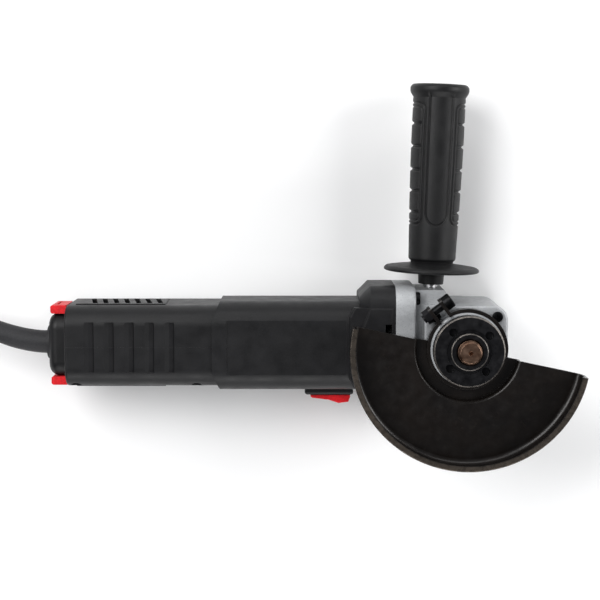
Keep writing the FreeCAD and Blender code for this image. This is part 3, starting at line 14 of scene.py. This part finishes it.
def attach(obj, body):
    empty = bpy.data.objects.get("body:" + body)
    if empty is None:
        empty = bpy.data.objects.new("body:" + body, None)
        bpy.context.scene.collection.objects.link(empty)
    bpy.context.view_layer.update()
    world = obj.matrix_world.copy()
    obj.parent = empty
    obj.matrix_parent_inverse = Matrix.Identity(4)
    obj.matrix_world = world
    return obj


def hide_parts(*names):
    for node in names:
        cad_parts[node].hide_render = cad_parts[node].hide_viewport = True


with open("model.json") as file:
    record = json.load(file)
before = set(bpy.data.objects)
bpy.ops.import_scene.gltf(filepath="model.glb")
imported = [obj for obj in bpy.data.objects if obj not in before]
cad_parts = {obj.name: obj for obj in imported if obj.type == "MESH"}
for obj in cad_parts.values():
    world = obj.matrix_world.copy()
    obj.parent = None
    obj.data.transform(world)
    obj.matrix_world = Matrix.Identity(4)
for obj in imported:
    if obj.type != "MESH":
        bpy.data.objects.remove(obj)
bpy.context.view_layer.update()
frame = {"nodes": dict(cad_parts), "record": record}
scene = bpy.context.scene
MM = 0.001
AXIS_HEIGHT = 0.033


# Camera: nearly straight down the spindle, leaning 6 degrees towards the side handle

def make_camera():
    target = Vector((-0.0989, 0.0257, AXIS_HEIGHT))
    lean = math.radians(6.0)
    distance = 0.9
    back = Vector((0.0, math.sin(lean), math.cos(lean)))
    up = Vector((0.0, math.cos(lean), -math.sin(lean)))
    right = up.cross(back)
    data = bpy.data.cameras.new("camera")
    data.sensor_width = 36.0
    data.lens = 88.2
    data.clip_start = 0.01
    camera = bpy.data.objects.new("camera", data)
    camera.matrix_world = Matrix.Translation(target + back * distance) @ Matrix(
        (right, up, back)).transposed().to_4x4()
    scene.collection.objects.link(camera)
    scene.camera = camera


# Cord: out of the sleeve, down to the surface, six turns of a tied coil, and into the plug

CORD_DIAMETER = 0.008
CORD_ROUTE = (
    (-0.3029, 0.0148, 0.0330),
    (-0.3250, 0.0251, 0.0330),
    (-0.3634, 0.0460, 0.0215),
    (-0.3823, 0.0607, 0.0199),
)
COIL_CENTRE = (-0.3527, 0.0986)
COIL_ENTRY = 232.0
# Where each turn of the coil lies in the bundle: (radius, height)
COIL_TURNS = (
    (0.048, 0.0197), (0.040, 0.0197), (0.036, 0.0128), (0.044, 0.0128),
    (0.040, 0.0059), (0.048, 0.0059), (0.052, 0.0128),
)
COIL_STEPS = 24
CROSSOVER = 0.12
PLUG_LEAD = ((-0.4047, 0.1080, 0.0128), (-0.4047, 0.1200, 0.0134), (-0.4047, 0.1310, 0.0135))


def eased(value):
    value = min(max(value, 0.0), 1.0)
    return value * value * (3.0 - 2.0 * value)


def coil_points():
    """Control points round the coil, clockwise from above; each turn ends by stepping to the next place."""
    points = []
    for turn, (radius, height) in enumerate(COIL_TURNS):
        last = turn == len(COIL_TURNS) - 1
        following = COIL_TURNS[turn] if last else COIL_TURNS[turn + 1]
        steps = 4 if last else COIL_STEPS
        for step in range(steps):
            share = step / COIL_STEPS
            blend = eased((share - 1.0 + CROSSOVER) / CROSSOVER)
            angle = math.radians(COIL_ENTRY - 360.0 * share)
            reach = radius + (following[0] - radius) * blend
            level = height + (following[1] - height) * blend
            points.append((COIL_CENTRE[0] + reach * math.cos(angle),
                           COIL_CENTRE[1] + reach * math.sin(angle), level))
    return points


def make_cord():
    """The whole free cord as one smooth NURBS line with a round section."""
    data = bpy.data.curves.new("mains_cord", "CURVE")
    data.dimensions = "3D"
    data.bevel_depth = CORD_DIAMETER / 2
    data.bevel_resolution = 6
    data.resolution_u = 4
    data.use_fill_caps = True
    spline = data.splines.new("NURBS")
    points = list(CORD_ROUTE[:-1]) + coil_points() + list(PLUG_LEAD)
    spline.points.add(len(points) - 1)
    for point, place in zip(spline.points, points):
        point.co = (*place, 1.0)
    spline.order_u = 3
    spline.use_endpoint_u = True
    cord = bpy.data.objects.new("mains_cord", data)
    scene.collection.objects.link(cord)
    return cord


# Node materials. Each is built from noise in the piece's own coordinates, so that it moves with the piece.

def linear(*channels):
    """8-bit sRGB channels as linear light."""
    return tuple(
        c / 255 / 12.92 if c <= 10 else ((c / 255 + 0.055) / 1.055) ** 2.4 for c in channels)


class Look:
    """One material under construction."""

    def __init__(self, name, metallic=0.0, specular=0.5, coat=0.0, coat_roughness=0.2):
        self.material = bpy.data.materials.new(name)
        self.material.use_nodes = True
        self.tree = self.material.node_tree
        self.shader = self.tree.nodes["Principled BSDF"]
        self.set("Metallic", metallic)
        self.set("Specular IOR Level", specular)
        self.set("Coat Weight", coat)
        self.set("Coat Roughness", coat_roughness)
        self.place = self.node("ShaderNodeTexCoord").outputs["Object"]
        self.normal = None

    def node(self, kind, **settings):
        made = self.tree.nodes.new(kind)
        for key, value in settings.items():
            setattr(made, key, value)
        return made

    def link(self, source, target):
        self.tree.links.new(source, target)

    def set(self, socket, value):
        self.shader.inputs[socket].default_value = value

    def stretched(self, x=1.0, y=1.0, z=1.0):
        mapping = self.node("ShaderNodeMapping")
        mapping.inputs["Scale"].default_value = (x, y, z)
        self.link(self.place, mapping.inputs["Vector"])
        return mapping.outputs["Vector"]

    def noise(self, size, detail=2.0, vector=None, roughness=0.5):
        """Noise whose features are about that many metres wide."""
        noise = self.node("ShaderNodeTexNoise")
        noise.inputs["Scale"].default_value = 1.0 / size
        noise.inputs["Detail"].default_value = detail
        noise.inputs["Roughness"].default_value = roughness
        self.link(vector or self.place, noise.inputs["Vector"])
        return noise.outputs["Fac"]

    def cells(self, size):
        """Distance to the middle of the nearest cell, for cells about that many metres wide."""
        cells = self.node("ShaderNodeTexVoronoi", feature="F1")
        cells.inputs["Scale"].default_value = 1.0 / size
        self.link(self.place, cells.inputs["Vector"])
        return cells.outputs["Distance"]

    def range(self, value, low, high, to_low=0.0, to_high=1.0):
        """Stretches low to high onto to_low to to_high, and holds the ends."""
        mapped = self.node("ShaderNodeMapRange")
        mapped.inputs["From Min"].default_value = low
        mapped.inputs["From Max"].default_value = high
        mapped.inputs["To Min"].default_value = to_low
        mapped.inputs["To Max"].default_value = to_high
        self.link(value, mapped.inputs["Value"])
        return mapped.outputs["Result"]

    def math(self, operation, first, second=0.0):
        made = self.node("ShaderNodeMath", operation=operation)
        for socket, item in zip(made.inputs, (first, second)):
            if isinstance(item, (int, float)):
                socket.default_value = item
            else:
                self.link(item, socket)
        return made.outputs["Value"]

    def axis(self, letter):
        split = self.node("ShaderNodeSeparateXYZ")
        self.link(self.place, split.inputs["Vector"])
        return split.outputs[letter]

    def reach(self):
        """Distance from the spindle axis."""
        across, along = self.axis("X"), self.axis("Y")
        squares = self.math("ADD", self.math("MULTIPLY", across, across), self.math("MULTIPLY", along, along))
        return self.math("SQRT", squares)

    def mix(self, factor, first, second):
        """Blends two colours, each given as a tuple or a socket."""
        mixed = self.node("ShaderNodeMix", data_type="RGBA")
        self.link(factor, mixed.inputs["Factor"])
        for socket, item in ((mixed.inputs[6], first), (mixed.inputs[7], second)):
            if isinstance(item, tuple):
                socket.default_value = (*item, 1.0)
            else:
                self.link(item, socket)
        return mixed.outputs[2]

    def colour(self, source):
        self.link(source, self.shader.inputs["Base Color"])

    def roughness(self, source):
        self.link(source, self.shader.inputs["Roughness"])

    def metallic(self, source):
        self.link(source, self.shader.inputs["Metallic"])

    def soft_edges(self, radius):
        """Rounds the shading of sharp edges by a small radius."""
        bevel = self.node("ShaderNodeBevel", samples=4)
        bevel.inputs["Radius"].default_value = radius
        self.normal = bevel.outputs["Normal"]
        self.link(self.normal, self.shader.inputs["Normal"])

    def bump(self, height, depth):
        """Adds relief; depth is its height in metres."""
        bump = self.node("ShaderNodeBump")
        bump.inputs["Strength"].default_value = 1.0
        bump.inputs["Distance"].default_value = depth
        self.link(height, bump.inputs["Height"])
        if self.normal is not None:
            self.link(self.normal, bump.inputs["Normal"])
        self.normal = bump.outputs["Normal"]
        self.link(self.normal, self.shader.inputs["Normal"])


def moulded(name, dark, light, roughness, grain, depth, edge=0.0004, specular=0.3):
    """Moulded plastic or rubber: spark-eroded grain, faint tone changes and slightly polished patches."""
    look = Look(name, specular=specular)
    tone = look.range(look.noise(0.018, 3.0), 0.3, 0.7)
    speck = look.range(look.noise(grain * 1.6, 2.0), 0.35, 0.65)
    base = look.mix(tone, dark, light)
    look.colour(look.mix(look.math("MULTIPLY", speck, 0.35), base, tuple(c * 1.7 for c in light)))
    rub = look.noise(0.009, 4.0)
    look.roughness(look.range(rub, 0.3, 0.7, roughness - 0.06, roughness + 0.07))
    if edge:
        look.soft_edges(edge)
    look.bump(look.noise(grain, 3.0, roughness=0.6), depth)
    return look.material


def cast_metal():
    """Pale sand-grained casting with fine pits."""
    look = Look("cast_aluminium", metallic=0.35)
    tone = look.range(look.noise(0.012, 4.0), 0.3, 0.7)
    base = look.mix(tone, linear(158, 160, 162), linear(180, 182, 184))
    pits = look.range(look.cells(0.0009), 0.0, 0.35)
    look.colour(look.mix(pits, linear(122, 123, 126), base))
    look.roughness(look.range(look.noise(0.0022, 3.0), 0.3, 0.7, 0.36, 0.55))
    look.soft_edges(0.0006)
    look.bump(look.noise(0.0007, 4.0, roughness=0.65), 0.00012)
    look.bump(look.noise(0.004, 2.0), 0.00015)
    return look.material


def guard_steel():
    """Dark satin coating with a bronze cast, a painted highlight along the top of the rolled rim, and scuffed
    inside.
    """
    look = Look("guard_steel", specular=0.4, coat=0.15, coat_roughness=0.2)
    tone = look.range(look.noise(0.02, 4.0), 0.3, 0.7)
    base = look.mix(tone, linear(12, 9, 8), linear(22, 17, 14))
    scuff_lines = look.noise(0.004, 5.0, look.stretched(1.0, 1.0, 0.2), 0.7)
    base = look.mix(look.range(scuff_lines, 0.58, 0.75, 0.0, 0.4), base, linear(42, 36, 32))
    # Painted highlight: the top face of the rolled rim is coloured pale and made metallic where light glints
    # on the hem, with ragged edges.
    rim = look.range(look.reach(), 0.0664, 0.0673)
    top = look.range(look.axis("Z"), 0.0856, 0.0859)
    ragged = look.range(look.noise(0.003, 5.0, roughness=0.7), 0.42, 0.56, 0.35, 1.0)
    painted_highlight = look.math("MULTIPLY", look.math("MULTIPLY", rim, top), ragged)
    look.colour(look.mix(painted_highlight, base, linear(96, 88, 80)))
    look.metallic(look.range(painted_highlight, 0.0, 1.0, 0.3, 0.9))
    look.roughness(look.range(look.noise(0.006, 4.0), 0.3, 0.7, 0.26, 0.42))
    look.soft_edges(0.0004)
    look.bump(look.noise(0.0012, 4.0, roughness=0.6), 0.00005)
    look.bump(look.noise(0.015, 2.0), 0.0002)
    return look.material


MARK_WIDTH = 0.0003


def turned_steel(name, dark, light, roughness, turned=False, painted_highlight=()):
    """Machined steel with fine turning marks round the spindle axis, or with plain fine grain.

    painted_highlight lists edges given painted highlight rings, each as inner radius, outer radius and lowest
    level.
    """
    look = Look(name, metallic=1.0)
    tone = look.range(look.noise(0.006, 4.0), 0.3, 0.7)
    base = look.mix(tone, dark, light)
    along = None
    if turned:
        combined = look.node("ShaderNodeCombineXYZ")
        look.link(look.reach(), combined.inputs["X"])
        look.link(look.axis("Z"), combined.inputs["Y"])
        along = combined.outputs["Vector"]
    lines = look.noise(MARK_WIDTH, 3.0, along)
    colour = look.mix(look.range(lines, 0.35, 0.65, 0.0, 0.5), base, tuple(c * 0.7 for c in dark))
    # Painted highlight: pale ragged rings on the listed edges stand in for light glinting off them.
    ragged = look.range(look.noise(0.002, 4.0, roughness=0.7), 0.3, 0.6, 0.35, 1.0) if painted_highlight else None
    for inner, outer, level in painted_highlight:
        middle, half = (inner + outer) / 2, (outer - inner) / 2
        off = look.math("ABSOLUTE", look.math("SUBTRACT", look.reach(), middle))
        above = look.range(look.axis("Z"), level, level + 0.0002)
        edge = look.math("MULTIPLY", look.range(off, half, half * 0.5), above)
        colour = look.mix(look.math("MULTIPLY", edge, ragged), colour, linear(150, 144, 138))
    look.colour(colour)
    look.roughness(look.range(look.noise(0.003, 3.0), 0.3, 0.7, roughness - 0.06, roughness + 0.08))
    look.soft_edges(0.00025)
    look.bump(lines, 0.00003)
    return look.material


def laminated():
    """Stacked steel sheets, edge on."""
    look = Look("lamination_steel", metallic=0.9)
    bands = look.node("ShaderNodeTexWave", bands_direction="X")
    bands.inputs["Scale"].default_value = 300.0
    bands.inputs["Distortion"].default_value = 0.4
    look.link(look.place, bands.inputs["Vector"])
    look.colour(look.mix(bands.outputs["Fac"], linear(70, 72, 76), linear(140, 142, 146)))
    look.roughness(look.range(look.noise(0.004, 3.0), 0.3, 0.7, 0.3, 0.5))
    look.bump(bands.outputs["Fac"], 0.00008)
    return look.material


def copper_wire():
    """Lacquered winding wire in slanting layers."""
    look = Look("copper", metallic=0.9, coat=0.4, coat_roughness=0.15)
    wires = look.node("ShaderNodeTexWave", bands_direction="DIAGONAL")
    wires.inputs["Scale"].default_value = 420.0
    wires.inputs["Distortion"].default_value = 2.5
    look.link(look.place, wires.inputs["Vector"])
    look.colour(look.mix(wires.outputs["Fac"], linear(96, 46, 22), linear(196, 112, 60)))
    look.roughness(look.range(look.noise(0.002, 3.0), 0.3, 0.7, 0.25, 0.42))
    look.bump(wires.outputs["Fac"], 0.0001)
    return look.material


def felt():
    """Pressed grey felt."""
    look = Look("felt", specular=0.2)
    look.set("Sheen Weight", 0.4)
    fibres = look.noise(0.0006, 6.0, roughness=0.8)
    look.colour(look.mix(fibres, linear(96, 92, 86), linear(168, 162, 152)))
    look.roughness(look.range(fibres, 0.3, 0.7, 0.85, 1.0))
    look.bump(fibres, 0.0003)
    return look.material


def pale_floor():
    """Nearly white paper under the tool."""
    look = Look("floor_paper", specular=0.2)
    tone = look.range(look.noise(0.4, 2.0), 0.3, 0.7)
    look.colour(look.mix(tone, linear(243, 243, 243), linear(247, 247, 247)))
    look.roughness(look.range(look.noise(0.05, 2.0), 0.3, 0.7, 0.75, 0.85))
    look.bump(look.noise(0.002, 2.0), 0.00004)
    return look.material


# Dark tone, light tone, roughness, grain width, grain depth and, if not the usual one, edge rounding
MOULDINGS = {
    "black_plastic": ((9, 9, 10), (17, 17, 19), 0.46, 0.0006, 0.00006),
    "handle_plastic": ((10, 10, 11), (17, 17, 18), 0.48, 0.0005, 0.00009),
    "red_plastic": ((180, 14, 22), (204, 24, 32), 0.42, 0.0008, 0.00002),
    "black_rubber": ((30, 30, 32), (44, 44, 46), 0.55, 0.0005, 0.00004),
    "cord_rubber": ((26, 26, 28), (40, 40, 42), 0.5, 0.0004, 0.00003, 0.0),
    "carbon": ((30, 30, 32), (52, 52, 55), 0.6, 0.0003, 0.00005),
}
# Painted highlight rings on the locknut's edges: round its disc, and round its boss
NUT_HIGHLIGHT_RINGS = ((0.0201, 0.0213, 0.0778), (0.0103, 0.0112, 0.0806))
# Dark tone, light tone, roughness, whether turned and, for one, the edges with painted highlight rings
STEELS = {
    "dark_steel": ((40, 40, 42), (52, 52, 54), 0.42, True, NUT_HIGHLIGHT_RINGS),
    "dark_screws": ((22, 22, 23), (46, 46, 47), 0.36, False),
    "bright_steel": ((150, 150, 152), (205, 205, 206), 0.28, True),
    "nose_steel": ((112, 84, 68), (170, 140, 120), 0.32, True),
    "spring_steel": ((120, 120, 124), (180, 180, 184), 0.3, False),
    "nickel": ((180, 176, 166), (222, 218, 208), 0.18, False),
    "bronze": ((140, 98, 48), (196, 150, 82), 0.36, False),
}
looks = {
    "cast_aluminium": cast_metal(),
    "guard_steel": guard_steel(),
    "lamination_steel": laminated(),
    "copper": copper_wire(),
    "felt": felt(),
}
for slot, (dark_tone, light_tone, *surface) in MOULDINGS.items():
    looks[slot] = moulded(slot, linear(*dark_tone), linear(*light_tone), *surface)
for slot, (dark_tone, light_tone, *surface) in STEELS.items():
    looks[slot] = turned_steel(slot, linear(*dark_tone), linear(*light_tone), *surface)


def dress_frame():
    """Gives every CAD node the look of its material slot."""
    slots = {item["node"]: item["material_slot"] for item in frame["record"]["subparts"]}
    for name, node in frame["nodes"].items():
        node.data.materials.clear()
        node.data.materials.append(looks[slots[name]])


# Detailed pieces

def mesh_piece(name, vertices, faces, look, body):
    """A smooth-shaded mesh that rides on a body of the frame."""
    data = bpy.data.meshes.new(name)
    data.from_pydata(vertices, [], faces)
    data.validate()
    data.polygons.foreach_set("use_smooth", [True] * len(data.polygons))
    data.materials.append(looks[look])
    piece = bpy.data.objects.new(name, data)
    scene.collection.objects.link(piece)
    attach(piece, body)
    return piece


def rounded_outline(corners, steps=5):
    """An open outline of (radius, distance, rounding) corners, with each corner turned into a short arc."""
    points = [corners[0][:2]]
    for before, corner, after in zip(corners, corners[1:], corners[2:]):
        here, rounding = Vector(corner[:2]), corner[2]
        back, on = Vector(before[:2]) - here, Vector(after[:2]) - here
        reach = min(rounding, back.length * 0.45, on.length * 0.45)
        start, end = here + back.normalized() * reach, here + on.normalized() * reach
        for k in range(steps + 1):
            t = k / steps
            point = start * (1 - t) ** 2 + here * 2 * t * (1 - t) + end * t ** 2
            points.append((point.x, point.y))
    points.append(corners[-1][:2])
    return points


def spun(name, outline, place, look, body, segments, relief=None):
    """A surface turned about the place's own Y axis; relief(angle, distance) sinks it by some mm."""
    vertices, faces = [], []
    for radius, distance in outline:
        for k in range(segments):
            angle = 2 * math.pi * k / segments
            reach = radius - (relief(angle, distance, radius) if relief else 0.0)
            point = Vector((reach * math.sin(angle), distance, reach * math.cos(angle))) * MM
            vertices.append(place @ point)
    rows = len(outline)
    for row in range(rows - 1):
        for k in range(segments):
            following = (k + 1) % segments
            faces.append((row * segments + k, row * segments + following,
                          (row + 1) * segments + following, (row + 1) * segments + k))
    faces.append(tuple(range(segments)))
    faces.append(tuple(range((rows - 1) * segments, rows * segments))[::-1])
    return mesh_piece(name, vertices, faces, look, body)


HANDLE_LEAN = math.radians(2.2)
HANDLE_PLACE = Matrix.Translation((-0.0191, 0.0337, AXIS_HEIGHT)) @ Matrix.Rotation(-HANDLE_LEAN, 4, "Z")
GRIP_RADIUS = 15.9
# Distances in mm along the grip from the gear case
NOTCHES = (45.9, 58.7, 71.6, 85.6, 99.1)
PATTERN_START, PATTERN_END = 30.0, 118.3
SIDE_PANEL_START, SIDE_PANEL_END = 38.5, 111.3
PANEL_BEND = 45.5
TUBE_START, TUBE_END = 20.5, 113.8


def groove(offset, half_width, depth):
    """A round-bottomed groove that is that deep where the offset is nought."""
    return depth * (1.0 - eased(abs(offset) / half_width))


def panel_offset(across, along, half_width, low, high, corner):
    """Signed distance in mm to a rounded rectangle centred across; negative inside."""
    dx = abs(across) - (half_width - corner)
    dy = abs(along - (low + high) / 2) - ((high - low) / 2 - corner)
    return math.hypot(max(dx, 0.0), max(dy, 0.0)) + min(max(dx, dy), 0.0) - corner


def grip_relief(angle, distance, radius):
    """Depth in mm of the moulded pattern: a U-shaped panel above and below, ribbed panels at the sides."""
    if distance < PATTERN_START or distance > PATTERN_END:
        return 0.0
    turned = math.degrees(angle)
    from_top = min(abs(turned - centre) for centre in (0.0, 180.0, 360.0))
    across = math.radians(from_top) * GRIP_RADIUS
    half = 7.0
    beyond = distance > PANEL_BEND
    edge = abs(across) - half if beyond else math.hypot(across, distance - PANEL_BEND) - half
    fade = eased((PATTERN_END - distance) / 3.0)
    depth = groove(edge, 1.0, 0.95) * fade
    if edge < 0.0:
        depth = max(depth, 0.3 * eased(-edge / 1.2) * fade)
    from_side = math.radians(min(abs(turned - centre) for centre in (90.0, 270.0))) * GRIP_RADIUS
    offset = panel_offset(from_side, distance, 15.2, SIDE_PANEL_START, SIDE_PANEL_END, 5.0)
    depth = max(depth, groove(offset, 0.9, 0.75), groove(offset + 2.3, 0.8, 0.6))
    if offset < -2.6:
        inward = eased((-offset - 2.6) / 0.8)
        for notch in NOTCHES:
            depth = max(depth, groove(distance - notch, 1.5, 1.3) * inward)
    return depth


def make_handle():
    """The side handle: a grip with its moulded panels, and the dished hand-guard disc with its stub."""
    rows = [(0.01, 14.3), (12.6, 14.3)]
    rows += rounded_outline([(12.6, 14.3, 0), (13.1, 16.2, 0.4), (14.3, 17.2, 0.8), (14.4, 20.0, 0)])[1:]
    count = 330
    for k in range(count + 1):
        t = k / count
        distance = TUBE_START + (TUBE_END - TUBE_START) * t
        belly = math.sin(math.pi * min(t * 1.25, 1.0) / 2)
        rows.append((14.4 + 1.45 * belly, distance))
    rows += rounded_outline([(15.85, 114.0, 0), (15.7, 114.8, 0.6), (17.4, 117.4, 1.2), (17.78, 118.8, 0.8),
                             (17.75, 121.1, 0.8), (16.2, 122.75, 1.2), (8.0, 122.75, 0.5),
                             (7.2, 120.8, 0.5), (6.8, 118.0, 0.4), (0.01, 118.0, 0)])
    grip = spun("side_handle_grip", rows, HANDLE_PLACE, "handle_plastic", "side_handle", 288, grip_relief)
    disc = rounded_outline([
        (4.2, 2.05, 0), (7.6, 2.05, 0.5), (8.1, 9.6, 1.2), (12.0, 10.75, 2.0), (20.0, 10.5, 2.0),
        (27.4, 9.6, 0.8), (28.9, 10.1, 0.7), (29.1, 11.4, 0.8), (27.6, 12.7, 0.7), (20.0, 13.8, 2.0),
        (14.0, 14.5, 1.0), (12.9, 15.2, 0.5), (4.2, 15.2, 0)])
    plate = spun("side_handle_disc", disc, HANDLE_PLACE, "handle_plastic", "side_handle", 160)
    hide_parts("handle_grip")
    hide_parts("handle_grip")


def make_tie():
    """The strap that holds the coil together, over the place where the turns cross."""
    middle_angle = math.radians(COIL_ENTRY + 18.0)
    vertices, faces = [], []
    around, along = 48, 6
    bundle_reach, bundle_level = 44.0, 12.5
    for j in range(along + 1):
        angle = middle_angle + math.radians(12.0) * (j / along - 0.5) * 2
        for layer in (12.3, 11.6):
            for k in range(around):
                turn = 2 * math.pi * k / around
                squash = 1.0 - 0.05 * math.cos(3 * turn) ** 2
                reach = bundle_reach + layer * squash * math.cos(turn)
                level = bundle_level + (layer - 0.2) * math.sin(turn)
                vertices.append((COIL_CENTRE[0] + reach * MM * math.cos(angle),
                                 COIL_CENTRE[1] + reach * MM * math.sin(angle), level * MM))
    ring = 2 * around
    for j in range(along):
        for layer in range(2):
            for k in range(around):
                a = j * ring + layer * around + k
                b = j * ring + layer * around + (k + 1) % around
                quad = (a, b, b + ring, a + ring)
                faces.append(quad if layer == 0 else quad[::-1])
    for j in (0, along):
        for k in range(around):
            following = (k + 1) % around
            quad = (j * ring + k, j * ring + around + k, j * ring + around + following, j * ring + following)
            faces.append(quad if j == 0 else quad[::-1])
    return mesh_piece("coil_tie", vertices, faces, "black_rubber", "housing")


def make_stage():
    """A wide square of pale paper at Z = 0."""
    data = bpy.data.meshes.new("floor")
    half = 4.0
    corners = [(-half, -half, 0), (half, -half, 0), (half, half, 0), (-half, half, 0)]
    data.from_pydata(corners, [], [(0, 1, 2, 3)])
    data.materials.append(pale_floor())
    floor = bpy.data.objects.new("floor", data)
    scene.collection.objects.link(floor)


def add_light(name, place, target, size, power):
    data = bpy.data.lights.new(name, "AREA")
    data.shape = "RECTANGLE"
    data.size, data.size_y = size
    data.energy = power
    light = bpy.data.objects.new(name, data)
    light.location = place
    light.rotation_euler = (Vector(target) - Vector(place)).to_track_quat("-Z", "Y").to_euler()
    scene.collection.objects.link(light)


def make_light():
    """Large soft boxes round the table, brightest from the upper left, under a pale even sky."""
    middle_point = (-0.08, 0.0, 0.03)
    add_light("softbox_left", (-0.95, 0.6, 1.25), middle_point, (1.1, 0.9), 22.0)
    add_light("softbox_right", (1.25, 0.3, 0.8), middle_point, (0.9, 0.8), 15.0)
    add_light("softbox_front", (0.0, -1.3, 0.8), middle_point, (1.6, 0.6), 13.5)
    add_light("softbox_handle", (0.0, 1.4, 0.8), middle_point, (1.4, 0.6), 7.0)
    world = bpy.data.worlds.new("studio")
    world.use_nodes = True
    background = world.node_tree.nodes["Background"]
    background.inputs["Color"].default_value = (0.93, 0.95, 1.0, 1.0)
    background.inputs["Strength"].default_value = 0.16
    scene.world = world
    scene.view_settings.view_transform = "Standard"


make_camera()
cord = make_cord()
cord.data.materials.append(looks["cord_rubber"])
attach(cord, "housing")
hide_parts("power_cord", "cord_coil")
dress_frame()
make_handle()
tie = make_tie()
make_stage()
make_light()
